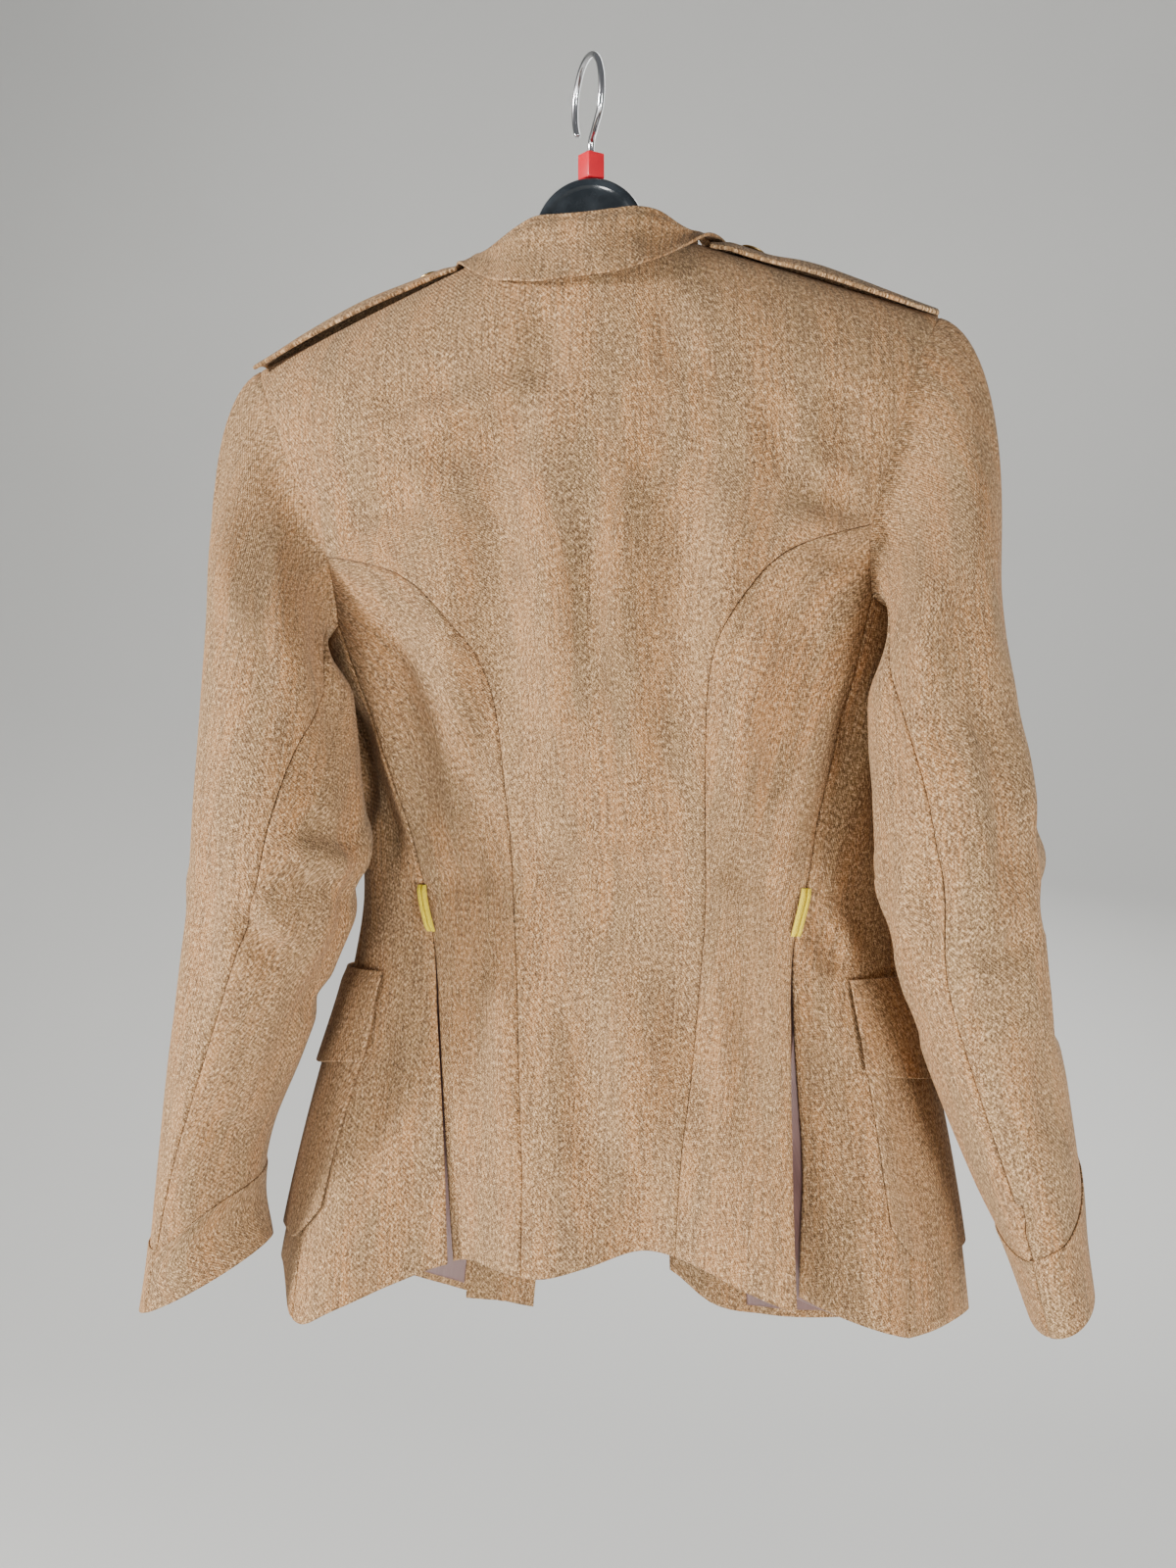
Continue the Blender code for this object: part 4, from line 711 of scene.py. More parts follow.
def wool_look(name):
    """Heather wool twill: mixed yarns, a diagonal rib, a faint nap."""
    n = Nodes(name)
    cloth = n.cloth()
    # places on the cloth are in metres, so the scales are per metre
    slant = n.turned(cloth, math.radians(-38))
    wander = n.math("MULTIPLY", n.noise(cloth, 160.0, 2.0), 6.0)
    rib = n.wave(cloth, 1.0, 0.78, 0.0016, wander)
    yarn = n.wave(cloth, -0.5, 1.0, 0.0013, n.math("MULTIPLY", wander, -0.7))
    weave = n.math("ADD", n.math("MULTIPLY", rib, 0.65), n.math("MULTIPLY", yarn, 0.35))
    fleck = n.noise(n.scaled(cloth, (1.0, 0.6, 1.0)), 640.0, 4.0, 0.86)
    speck = n.noise(n.scaled(slant, (0.6, 1.2, 1.0)), 1700.0, 2.0, 0.6)
    streak = n.noise(n.scaled(cloth, (1.0, 0.06, 1.0)), 420.0, 3.0, 0.62)
    weft = n.noise(n.scaled(cloth, (0.07, 1.0, 1.0)), 330.0, 2.0, 0.5)
    patch_tone = n.noise(n.scaled(cloth, (1.0, 0.24, 1.0)), 42.0, 3.0, 0.5)
    cloud = n.noise(n.scaled(cloth, (1.0, 0.45, 1.0)), 13.0, 2.0, 0.5)

    colour = n.mixed(
        (0.244, 0.148, 0.0651),
        (n.ramp(patch_tone, 0.42, 0.58), (0.414, 0.186, 0.0589)),
        (n.ramp(cloud, 0.38, 0.66, 0.0, 0.7), (0.4, 0.214, 0.0868)),
        (n.ramp(streak, 0.45, 0.58, 0.0, 0.75), (0.126, 0.0676, 0.0298)),
        (n.ramp(weft, 0.45, 0.7, 0.0, 0.22), (0.444, 0.276, 0.149)),
        (n.ramp(fleck, 0.5, 0.38), (0.0407, 0.0221, 0.0112)),
        (n.ramp(fleck, 0.51, 0.62), (0.74, 0.497, 0.279)),
        (n.ramp(speck, 0.5, 0.36, 0.0, 0.6), (0.0962, 0.0469, 0.0198)),
        (n.ramp(speck, 0.56, 0.7, 0.0, 0.5), (0.592, 0.38, 0.211)),
        (n.ramp(weave, 0.0, -0.9, 0.0, 0.5), (0.111, 0.0587, 0.026)),
        (n.ramp(weave, 0.1, 0.95, 0.0, 0.2), (0.488, 0.317, 0.174)),
    )
    height = n.math("ADD", n.math("MULTIPLY", weave, 0.5), n.math("MULTIPLY", fleck, 1.2))
    height = n.math("ADD", height, n.math("MULTIPLY", speck, 0.6))
    return n.finish(
        Base_Color=colour,
        Roughness=0.93,
        Specular_IOR_Level=0.2,
        Sheen_Weight=0.1,
        Sheen_Roughness=0.5,
        Sheen_Tint=(0.9, 0.76, 0.6, 1.0),
        Normal=n.bump(height, 0.00032, 0.9),
    )


def lining_look(name):
    """Maroon satin, with fine warp lines."""
    n = Nodes(name)
    cloth = n.cloth()
    warp = n.noise(n.scaled(cloth, (1.0, 0.03, 1.0)), 1500.0, 2.0)
    cloud = n.noise(cloth, 26.0, 3.0)
    colour = n.mixed(
        (0.1, 0.048, 0.042),
        (n.ramp(cloud, 0.35, 0.7), (0.16, 0.083, 0.07)),
        (n.ramp(warp, 0.35, 0.7, 0.0, 0.35), (0.22, 0.12, 0.1)),
    )
    weave = n.wave(cloth, 1.0, 0.15, 0.0009)
    rough = n.ramp(cloud, 0.3, 0.7, 0.38, 0.52)
    return n.finish(
        Base_Color=colour,
        Roughness=rough,
        Normal=n.bump(n.math("ADD", weave, warp), 0.00005, 0.6),
        Sheen_Weight=0.12,
    )


def cord_look(name):
    """Bright yellow braid, with painted shade in its hollows."""
    n = Nodes(name)
    cloth = n.cloth()
    braid = n.wave(cloth, 1.0, 0.9, 0.0012)
    cross = n.wave(cloth, -1.0, 0.9, 0.0012)
    height = n.math("MAXIMUM", braid, cross)
    tone = n.noise(cloth, 700.0, 2.0)
    colour = n.mixed(
        (0.6, 0.43, 0.0),
        (n.ramp(tone, 0.35, 0.65), (0.74, 0.57, 0.01)),
        # painted shade: the braid is darker where its bump is low, in the hollows between its
        # strands
        (n.ramp(height, 0.3, -0.4, 0.0, 0.6), (0.4, 0.3, 0.02)),
    )
    return n.finish(
        Base_Color=colour,
        Roughness=0.6,
        Sheen_Weight=0.1,
        Normal=n.bump(height, 0.0002, 0.8),
    )


def hard_look(name, colour, roughness, metallic=0.0, coat=0.0, wear=(0.02, 0.02, 0.02),
              worn=0.2, scale=60.0, uneven=0.08):
    """Plastic or metal, with handling marks in its gloss."""
    n = Nodes(name)
    place = n.add("ShaderNodeTexCoord").outputs["Object"]
    smear = n.noise(place, scale, 4.0, 0.6)
    grain = n.noise(place, scale * 14, 2.0, 0.5)
    tone = n.mix(n.ramp(smear, 0.4, 0.7, 0.0, worn), colour, wear)
    rough = n.ramp(smear, 0.3, 0.7, max(roughness - uneven, 0.03), roughness + uneven)
    return n.finish(
        Base_Color=tone,
        Roughness=rough,
        Metallic=metallic,
        Coat_Weight=coat,
        Normal=n.bump(grain, 0.00004, 0.25),
    )


WOOL = wool_look("wool_twill")
SATIN = lining_look("maroon_satin")
CORD = cord_look("yellow_braid")
BRASS = hard_look("brass", (0.62, 0.43, 0.16), 0.28, 1.0, wear=(0.33, 0.2, 0.08), worn=0.5)
BLACK = hard_look("black_gloss", (0.012, 0.016, 0.02), 0.2, coat=0.6,
                  wear=(0.05, 0.06, 0.07), worn=0.5)
STEEL = hard_look("steel_wire", (0.62, 0.62, 0.64), 0.2, 1.0, wear=(0.42, 0.41, 0.4))
RED = hard_look("red_plastic", (0.62, 0.012, 0.025), 0.32, coat=0.2,
                wear=(0.42, 0.01, 0.02), worn=0.4)


# Fine cloth


def stretched(grid, places, axis):
    """The grid read at fractional places along an axis."""
    grid = np.moveaxis(grid, axis, 0)
    low = np.clip(np.floor(places).astype(int), 0, len(grid) - 2)
    share = (places - low).reshape((-1,) + (1,) * (grid.ndim - 1))
    return np.moveaxis(grid[low] * (1 - share) + grid[low + 1] * share, 0, axis)


def placed(name, data):
    """A new object of the scene."""
    made = bpy.data.objects.new(name, data)
    bpy.context.scene.collection.objects.link(made)
    return made


NEAR_EDGE = (0.0, 0.12, 0.28, 0.55)


def crowded(count, first, last):
    """Places along an axis of count points, closer together beside the edges."""
    inner = np.arange(1.0, count - 1.0)
    head = NEAR_EDGE if first else (0.0,)
    tail = NEAR_EDGE if last else (0.0,)
    return np.concatenate([head, inner, [count - 1 - t for t in reversed(tail)]])


def edge_distances(points):
    """Distance of each point from the grid's bottom, top, left and right edges."""
    rows = np.linalg.norm(np.diff(points, axis=0), axis=-1)
    columns = np.linalg.norm(np.diff(points, axis=1), axis=-1)
    up = np.concatenate([np.zeros((1, points.shape[1])), np.cumsum(rows, 0)], 0)
    across = np.concatenate([np.zeros((points.shape[0], 1)), np.cumsum(columns, 1)], 1)
    return {"b": up, "t": up[-1:] - up, "l": across, "r": across[:, -1:] - across}


ROLL = 1.7  # how far round an edge a sewn seam turns in
ROLL_WIDTH = 2.6


def cloth(name, points, normals, wall, look, seams="", free="", inside=None, turn_up=34.0):
    """A closed piece of cloth from its outer grid, with its seams rolled in.

    seams and free name sides of the grid: b bottom, t top, l first and r last column.
    """
    rows = crowded(len(points), "b" in seams + free, "t" in seams + free)
    columns = crowded(points.shape[1], "l" in seams + free, "r" in seams + free)
    points = stretched(stretched(points, rows, 0), columns, 1)
    normals = unit(stretched(stretched(normals, rows, 0), columns, 1))
    far = edge_distances(points)
    middle = far["l"][:, points.shape[1] // 2][:, None]
    flat = np.stack([far["l"] - middle, far["b"]], -1)
    drop, raise_in = np.zeros(points.shape[:2]), np.zeros(points.shape[:2])
    for side in seams:
        share = np.clip(1 - far[side] / ROLL_WIDTH, 0, 1)
        drop = np.maximum(drop, ROLL * (1 - np.sqrt(1 - share**2 * 0.96)))
    half = wall / 2
    for side in free:
        share = np.clip(1 - far[side] / half, 0, 1)
        round_off = half * 0.96 * (1 - np.sqrt(np.maximum(1 - share**2, 0)))
        drop, raise_in = np.maximum(drop, round_off), np.maximum(raise_in, round_off)
    inner = points - normals * (wall - raise_in)[..., None]
    outer = points - normals * np.minimum(drop, wall * 0.75)[..., None]
    return solid(name, outer, inner, flat, look, inside, turn_up)


SHARP_CLOTH = math.radians(60)
SHARP_HARD = math.radians(40)
NEXT_CLOTH = (370.0, 230.0)  # each piece is cut from another place of the cloth


def solid(name, outer, inner, flat, look, inside=None, turn_up=0.0):
    """The mesh of a closed wall between two grids, with cloth coordinates.

    Its inner side has the look called inside, but for the strip of width turn_up at its foot.
    """
    rows, columns = outer.shape[:2]
    count = rows * columns
    index = np.arange(count).reshape(rows, columns)
    low, right = index[:-1, :-1], index[:-1, 1:]
    high, far = index[1:, :-1], index[1:, 1:]
    front = np.stack([low, right, far, high], -1).reshape(-1, 4)
    back = np.stack([low, high, far, right], -1).reshape(-1, 4) + count
    loop = np.concatenate([index[0, :-1], index[:-1, -1], index[-1, :0:-1], index[:0:-1, 0]])
    after = np.roll(loop, -1)
    rim = np.stack([after, loop, loop + count, after + count], -1)
    faces = np.concatenate([front, back, rim])
    corners = np.concatenate([outer.reshape(-1, 3), inner.reshape(-1, 3)])
    i, j = rows // 2, columns // 2
    facing = np.cross(outer[i, j + 1] - outer[i, j], outer[i + 1, j] - outer[i, j])
    place = flat.copy()
    if facing @ (outer[i, j] - inner[i, j]) < 0:
        faces = faces[:, ::-1]
        place[..., 0] *= -1
    place += np.array(NEXT_CLOTH) * len(bpy.data.meshes)
    mesh = bpy.data.meshes.new(name)
    mesh.from_pydata((corners * MM).tolist(), [], faces.tolist())
    places = np.concatenate([place.reshape(-1, 2)] * 2) * MM
    layer = mesh.uv_layers.new(name="cloth")
    vertex = np.zeros(len(mesh.loops), int)
    mesh.loops.foreach_get("vertex_index", vertex)
    layer.uv.foreach_set("vector", places[vertex].astype(np.float32).ravel())
    mesh.materials.append(look)
    if inside is not None:
        mesh.materials.append(inside)
        above = flat[:-1, :-1, 1].reshape(-1) > turn_up
        picks = np.zeros(len(faces), int)
        picks[len(front):len(front) + len(back)] = above
        mesh.polygons.foreach_set("material_index", picks)
    mesh.shade_smooth()
    mesh.set_sharp_from_angle(angle=SHARP_CLOTH)
    return placed(name + "_cloth", mesh)


def trimmed(points, gap, sides="btlr"):
    """The grid with sides drawn in by gap."""
    out = points.copy()
    edges = {"b": (np.s_[0], np.s_[1]), "t": (np.s_[-1], np.s_[-2]),
             "l": (np.s_[:, 0], np.s_[:, 1]), "r": (np.s_[:, -1], np.s_[:, -2])}
    for side in sides:
        edge, inner = edges[side]
        out[edge] += unit(points[inner] - points[edge]) * gap
    return out


def wear(obj, slot, *nodes):
    """The piece rides on the body and stands for its nodes."""
    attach(obj, "root")
    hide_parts(*nodes)
    return obj


def face_areas(grid):
    """Twice the area of each cell of the grid, as two triangles."""
    first = np.cross(grid[1:, :-1] - grid[:-1, :-1], grid[:-1, 1:] - grid[:-1, :-1])
    second = np.cross(grid[1:, :-1] - grid[1:, 1:], grid[:-1, 1:] - grid[1:, 1:])
    return np.linalg.norm(first, axis=-1) + np.linalg.norm(second, axis=-1)


NARROWEST_SHEET = 0.0101
LEAST_SHARE = 0.31  # of its flat rectangle that a sheet may cover


def hung(grid):
    """Works out the width, length and area of the piece's sheet, and keeps none of them."""
    far = edge_distances(grid)
    width = max(far["l"][:, -1].max() * MM, NARROWEST_SHEET)
    length = far["b"][-1].max() * MM
    area = face_areas(grid).sum() / 2 * MM**2
    area = max(min(area, width * length), LEAST_SHARE * width * length)


HANGER = ("hanger_arm_left", "hanger_arm_right")
ALL_SIDES = "btlr"


def sew(name, points, normals, wall, held, rests_on, seams="", free=ALL_SIDES, **how):
    """Makes a piece of cloth that stands for the node of its name."""
    slot, look = ("lining", SATIN) if name.startswith("lining") else ("wool", WOOL)
    obj = cloth(name, points, normals, wall, look, seams, free, **how)
    wear(obj, slot, name)
    hung(points)


CALM_WIDTH = 16.0


def on_body(grid, folds, lift=0.0, calm=""):
    """Points and outward directions over a patch, creased, and moved out by lift.

    The creases fade out beside the sides named in calm, where another piece joins.
    """
    angle, height = grid[..., 0], grid[..., 1]
    points, normals = body_point(angle, height, folds), body_normal(angle, height, folds)
    amount = BODY_DEPTH * relief(points, normals, BODY_CREASES)
    far = edge_distances(points)
    for side in calm:
        amount = amount * smooth(0.0, CALM_WIDTH, far[side])
    return points + normals * (amount[..., None] + lift), normals


def body_sheet(name, grid, folds, seams="tlr", free="b"):
    points, normals = on_body(grid, folds, calm="t")
    points = trimmed(points, SEAM_GAP / 2)
    sew(name, points, normals, CLOTH, "hung", HANGER, seams, free, inside=SATIN)


def shares(rows, columns):
    """How far up and how far across the points of a grid are, from 0 to 1."""
    return np.linspace(0, 1, rows + 1)[:, None], np.linspace(0, 1, columns + 1)[None]


def make_back():
    left = np.concatenate([princess_seam(-1)[:-1], back_armhole(-1)])
    right = np.concatenate([princess_seam(1)[:-1], back_armhole(1)])
    bottom = hem_line(left[0, 0], right[0, 0], BACK_COLUMNS * FINE)
    beside = (BACK_COLUMNS - NECK_COLUMNS) // 2 * FINE
    across = np.concatenate([
        np.linspace(-TIP_X, -NECK_X, beside + 1),
        np.linspace(-NECK_X, NECK_X, NECK_COLUMNS * FINE + 1)[1:-1],
        np.linspace(NECK_X, TIP_X, beside + 1),
    ])
    dip = BACK_NECK_DIP * np.maximum(1 - (across / NECK_X) ** 2, 0.0)
    rise = shoulder_height(np.maximum(np.abs(across), NECK_X)) - dip
    top = line(angle_of(across, rise), rise)
    grid = patch(bottom, top, left, right)
    body_sheet("back_center", grid, BACK_FOLDS)


def make_side_back(side, word):
    inner, outer = princess_seam(side), vent_seam(side, -VENT_APART)
    bottom = hem_line(inner[0, 0], outer[0, 0], SIDE_BACK_COLUMNS * FINE)
    grid = patch(*ordered(side, bottom, low_back_armhole(side), inner, outer))
    body_sheet(f"side_back_{word}", grid, BACK_FOLDS)


def make_side_panel(side, word):
    inner, outer = vent_seam(side, VENT_OPEN if side > 0 else VENT_LAP), side_seam(side)
    bottom = hem_line(inner[0, 0], outer[0, 0], SIDE_PANEL_COLUMNS * FINE)
    grid = patch(*ordered(side, bottom, underarm(side), inner, outer))
    body_sheet(f"side_panel_{word}", grid, SIDE_FOLDS)


def make_front(side, word):
    seam = np.concatenate([side_seam(side)[:-1], front_armhole(side)])
    edge = front_edge(side)
    bottom = hem_line(seam[0, 0], edge[0, 0], FRONT_COLUMNS * FINE)
    top = shoulder_line(side * TIP_X, side * NECK_X, True, FRONT_COLUMNS * FINE)
    grid = patch(*ordered(side, bottom, top, seam, edge))
    sewn, open_side = ("l", "r") if side > 0 else ("r", "l")
    body_sheet(f"front_{word}", grid, SIDE_FOLDS, "t" + sewn, "b" + open_side)


def body_patch(corners, rows, columns):
    """A straight-sided patch from its low left, low right, top left and top right."""
    low_left, low_right, top_left, top_right = (np.array(c, float) for c in corners)
    v, u = (share[..., None] for share in shares(rows, columns))
    return (low_left * (1 - u) + low_right * u) * (1 - v) + (
        top_left * (1 - u) + top_right * u) * v


def mirrored(grid, side):
    if side > 0:
        return grid
    out = grid[:, ::-1].copy()
    out[:, :, 0] *= -1
    return out


POCKET_REAR_FOOT = 52.5
POCKET_REAR_TOP = 54.5
POCKET_FRONT_FOOT = 116.0
POCKET_FRONT_TOP = 120.0
POCKET_TOP_Z = -571.0
POCKET_FOOT_Z = -717.0
POCKET_CORNER = 22.0
FLAP_TOP_Z = -557.0
FLAP_FOOT_Z = -611.0
FLAP_POINT = 7.0  # how far its middle hangs below its corners
FLAP_STAND = 1.1
CHORD = 0.5  # the fine surface bulges a little past the part's flat faces


def make_pocket(side, word):
    corners = (
        (POCKET_REAR_FOOT, POCKET_FOOT_Z),
        (POCKET_FRONT_FOOT, POCKET_FOOT_Z),
        (POCKET_REAR_TOP, POCKET_TOP_Z),
        (POCKET_FRONT_TOP, POCKET_TOP_Z),
    )
    rows, columns = 7 * FINE, 12 * FINE
    v, u = shares(rows, columns)
    grid = body_patch(corners, rows, columns)
    beside = 2 * np.minimum(u, 1 - u)
    grid[:, :, 1] += POCKET_CORNER * np.maximum(1 - beside / 0.35, 0.0) ** 2 * (1 - v)
    points, normals = on_body(mirrored(grid, side), SIDE_FOLDS,
                              lift=CHORD + LAYER_GAP + POCKET_CLOTH)
    # the bag of the pocket stands out a little at its middle and mouth
    belly = 0.5 * np.sin(math.pi * u) ** 0.6 * np.sin(math.pi * np.clip(v * 0.75 + 0.1, 0, 1))
    points = points + normals * belly[..., None]
    sew(f"pocket_{word}", points, normals, POCKET_CLOTH, "laid",
        (f"front_{word}", f"side_panel_{word}"))


def make_flap(side, word):
    corners = (
        (POCKET_REAR_TOP - 2.0, FLAP_FOOT_Z),
        (POCKET_FRONT_TOP + 1.0, FLAP_FOOT_Z),
        (POCKET_REAR_TOP - 1.0, FLAP_TOP_Z),
        (POCKET_FRONT_TOP + 1.5, FLAP_TOP_Z),
    )
    rows, columns = 4 * FINE, 12 * FINE
    v, u = shares(rows, columns)
    grid = body_patch(corners, rows, columns)
    grid[:, :, 1] -= FLAP_POINT * np.sin(math.pi * u) * (1 - v)
    lift = CHORD + 2 * LAYER_GAP + 2 * POCKET_CLOTH + FLAP_STAND
    points, normals = on_body(mirrored(grid, side), SIDE_FOLDS, lift=lift)
    flare = (1 - v) ** 1.5 * (1.0 + 1.2 * np.abs(u - 0.5) * 2)
    sink = -1.5 * smooth(0.82, 1.0, v)
    points = points + normals * (flare + sink)[..., None]
    sew(f"pocket_flap_{word}", points, normals, POCKET_CLOTH, "laid",
        (f"front_{word}", f"pocket_{word}"))


FACING_WIDTH = 60.5
FACING_NARROWS = 15.0  # by this much at the hem
FACING_REACH = 128.0  # how far out it goes at the shoulder
FACING_RISE = 1.0  # of its foot over the hem
FACING_LIFT = -(CLOTH + CHORD + 0.3)
LINING_TOP_Z = -560.0
LINING_FOOT_Z = -745.0
LINING_HEM = 5.0
LINING_LIFT = FACING_LIFT - LAYER_GAP
LINING_PLEATS = (0.1, 0.23, 0.34, 0.52, 0.69, 0.84)


def facing_width(height):
    """The facing narrows towards the hem."""
    return FACING_WIDTH - FACING_NARROWS * smooth(-560.0, -710.0, height)


def make_facing(side, word):
    edge = front_edge(side)
    across = edge_across(edge[:, 1], side) + side * facing_width(edge[:, 1])
    top_z = shoulder_height(FACING_REACH)
    rise = (top_z - BREAK_Z) / (edge[-1, 1] - BREAK_Z)
    height = edge[:, 1]
    height = np.where(height > BREAK_Z, BREAK_Z + (height - BREAK_Z) * rise, height)
    inner = line(front_angle(across, height, side), height)
    inner[0, 1] = hem_height(inner[0, 0]) + FACING_RISE
    columns = 4 * FINE
    bottom = hem_line(inner[0, 0], edge[0, 0], columns)
    bottom[:, 1] += FACING_RISE
    edge[0, 1] += FACING_RISE
    inner[-1] = (angle_of(side * FACING_REACH, top_z, True), top_z)
    top = shoulder_line(side * FACING_REACH, side * NECK_X, True, columns)
    top[-1] = edge[-1]
    grid = patch(*ordered(side, bottom, top, inner, edge))
    grid[:, :, 1] -= 3.0 * smooth(0.9, 1.0, np.linspace(0, 1, len(grid)))[:, None]
    points, normals = on_body(grid, SIDE_FOLDS, lift=FACING_LIFT)
    sew(f"facing_{word}", trimmed(points, 1.2)[:, ::-1], -normals[:, ::-1], FACING_CLOTH,
        "laid", (f"front_{word}",))


def make_lining(side, word):
    rows, columns = 8 * FINE, 18 * FINE
    height = heights(LINING_FOOT_Z, LINING_TOP_Z, rows)
    rear = line(side * (angle_of(VENT_SEAM.at("across", height), height) + 1.8), height)
    across = edge_across(height, side) + side * (facing_width(height) + 1.5)
    front = line(front_angle(across, height, side), height)
    bottom = hem_line(rear[0, 0], front[0, 0], columns)
    bottom[:, 1] += LINING_HEM
    for edge, foot in ((rear, bottom[0, 1]), (front, bottom[-1, 1])):
        edge[:, 1] = heights(foot, LINING_TOP_Z, rows)
    top = line(np.linspace(rear[-1, 0], front[-1, 0], columns + 1), LINING_TOP_Z)
    grid = patch(*ordered(side, bottom, top, rear, front))
    points, normals = on_body(grid, SIDE_FOLDS, lift=LINING_LIFT)
    groove = 0.0
    for place in LINING_PLEATS:
        u = np.linspace(0, 1, columns + 1) - place
        groove = groove + 0.9 * np.exp(-((u / 0.006) ** 2))
        groove = groove - 0.5 * np.exp(-(((u - 0.014) / 0.012) ** 2))
    points = points + normals * groove[None, :, None]
    sew(f"lining_{word}", points[:, ::-1], -normals[:, ::-1], LINING, "hung",
        (f"front_{word}", f"side_panel_{word}"))


LAPEL_FOOT_Z = -396.0
LAPEL_TOP_Z = -185.5
LAPEL_WIDTH = 72.0
LAPEL_TIP = 5.0  # its width at the foot
LAPEL_BELLY = 1.6


def make_lapel(side, word):
    v, u = shares(10 * FINE, 5 * FINE)
    low = LAPEL_FOOT_Z + (LAPEL_TOP_Z - LAPEL_FOOT_Z) * v
    width = LAPEL_TIP + (LAPEL_WIDTH - LAPEL_TIP) * v**0.9
    height = low - 0.14 * width * (1 - u) * v**3
    across = edge_across(low, side) + side * width * (1 - u)
    grid = line(front_angle(across, height, side), height)[:, ::side]
    points, normals = on_body(grid, SIDE_FOLDS, lift=CHORD + LAYER_GAP + CLOTH)
    far = edge_distances(points)["r" if side > 0 else "l"]
    belly = LAPEL_BELLY * np.sin(math.pi * np.clip(far / 70.0, 0, 1)) * np.minimum(v * 2, 1)
    sew(f"lapel_{word}", points + normals * belly[..., None], normals, CLOTH, "laid",
        (f"front_{word}",))


# Collar


COLLAR = Table(
    "step fold_x fold_y fold_z edge_x edge_y edge_z",
    [
        (0, 0, -47, -106, 0, -66, -156),
        (1, 12, -46.6, -106, 12.5, -66, -155.7),
        (2, 24, -45, -107, 24.5, -65, -154.5),
        (3, 36, -41, -109.6, 36, -62, -151.5),
        (4, 48, -33.5, -113.5, 49, -54, -146),
        (5, 59.5, -20.5, -117.5, 64, -38, -136),
        (6, 68.5, -2, -116.2, 76, -20, -125),
        (7, 70.5, 14, -119.3, 84, 1, -124),
        (8, 70, 27, -124.5, 89, 19, -128.5),
        (9, 68, 39, -133, 95, 37, -141),
        (10, 65, 50, -146, 100, 50, -157),
        (11, 61, 57.5, -163, 103, 58, -173),
        (12, 57.5, 62, -181, 100, 63, -187),
    ],
)
BACK_STEPS = 6
COLLAR_ENDS = 12
COLLAR_CLEAR = COLLAR_CLOTH + 1.6
# the wearer's right side of the collar rides higher than the left one
COLLAR_LIFT = Table(
    "step fold edge",
    [(-12, 0, 0), (-7, 0, 3), (-6, 0, 1), (-5, 0, 0.5), (-4, -2, 2.2), (-3, -1.3, 3.8),
     (-2, 0, 5.2), (-1, -1.2, 5.9), (0, -1.6, 6), (1, -1.4, 6), (2, 0.6, 5.8), (3, 4.6, 5.6),
     (4, 7.2, 6.4), (5, 5.4, 6.6), (6, 3, 7), (7, 3, 7), (8, 1.5, 4), (12, 0, 0)],
)


HULL_HEIGHTS = (-785.0, -100.0, 9.0)
HULL_ANGLES = (-180.0, 180.0, 4.0)
HULL_EASE = 30.0


class Hull:
    """The body's surface as samples, used to hold other pieces clear of it."""

    def __init__(self):
        height, angle = np.meshgrid(np.arange(*HULL_HEIGHTS), np.arange(*HULL_ANGLES),
                                    indexing="ij")
        across = BODY.at("half_width", height) * np.sin(np.radians(angle))
        keep = height < shoulder_height(across) - 0.5
        self.points = body_point(angle[keep], height[keep], ())
        self.normals = body_normal(angle[keep], height[keep], ())
        self.tree = KDTree(len(self.points))
        for k, point in enumerate(self.points):
            self.tree.insert(point, k)
        self.tree.balance()

    def push(self, points, clearance, top=None):
        """How far to move each point to hold it that far from the body."""
        flat = points.reshape(-1, 3)
        clear = np.broadcast_to(clearance, points.shape[:-1]).reshape(-1)
        nearest = np.array([self.tree.find(p)[1] for p in flat])
        height = np.sum((flat - self.points[nearest]) * self.normals[nearest], 1)
        need = np.maximum(clear - height, 0)
        if top is not None:
            need = need * smooth(top, top - HULL_EASE, flat[:, 2])
        return (self.normals[nearest] * need[:, None]).reshape(points.shape)


HULL = Hull()


def blurred(grid, times, ring=False):
    """The grid with each point moved towards the mean of its neighbours."""
    for _ in range(times):
        up = np.concatenate([grid[:1], grid[:-1]], 0)
        down = np.concatenate([grid[1:], grid[-1:]], 0)
        grid = (up + down + 2 * grid) / 4
        if ring:
            left, right = np.roll(grid, 1, 1), np.roll(grid, -1, 1)
        else:
            left = np.concatenate([grid[:, :1], grid[:, :-1]], 1)
            right = np.concatenate([grid[:, 1:], grid[:, -1:]], 1)
        grid = (left + right + 2 * grid) / 4
    return grid


def rounded(grid, count, axis):
    """count points for each step of the grid, on smooth curves through its points."""
    grid = np.moveaxis(grid, axis, 0)
    padded = np.concatenate([2 * grid[:1] - grid[1:2], grid, 2 * grid[-1:] - grid[-2:-1]])
    places = np.linspace(0, len(grid) - 1, (len(grid) - 1) * count + 1)
    low = np.clip(np.floor(places).astype(int), 0, len(grid) - 2)
    t = (places - low).reshape((-1,) + (1,) * (grid.ndim - 1))
    a, b, c, d = padded[low], padded[low + 1], padded[low + 2], padded[low + 3]
    out = 0.5 * (2 * b + (c - a) * t + (2 * a - 5 * b + 4 * c - d) * t**2
                 + (3 * b - 3 * c + d - a) * t**3)
    return np.moveaxis(out, 0, axis)


def collar_point(step, column):
    names = ("fold_x", "fold_y", "fold_z"), ("edge_x", "edge_y", "edge_z")
    point = np.stack([COLLAR.at(n, np.abs(step)) for n in names[column]], -1)
    point[..., 0] *= np.where(step >= 0, 1, -1)
    point[..., 2] += COLLAR_LIFT.at(("fold", "edge")[column], step)
    return point


def fold_frame(step):
    along = collar_point(step + 0.2, 0) - collar_point(step - 0.2, 0)
    away = np.stack([along[..., 1], -along[..., 0], 0 * along[..., 0]], -1)
    return collar_point(step, 0), unit(away)


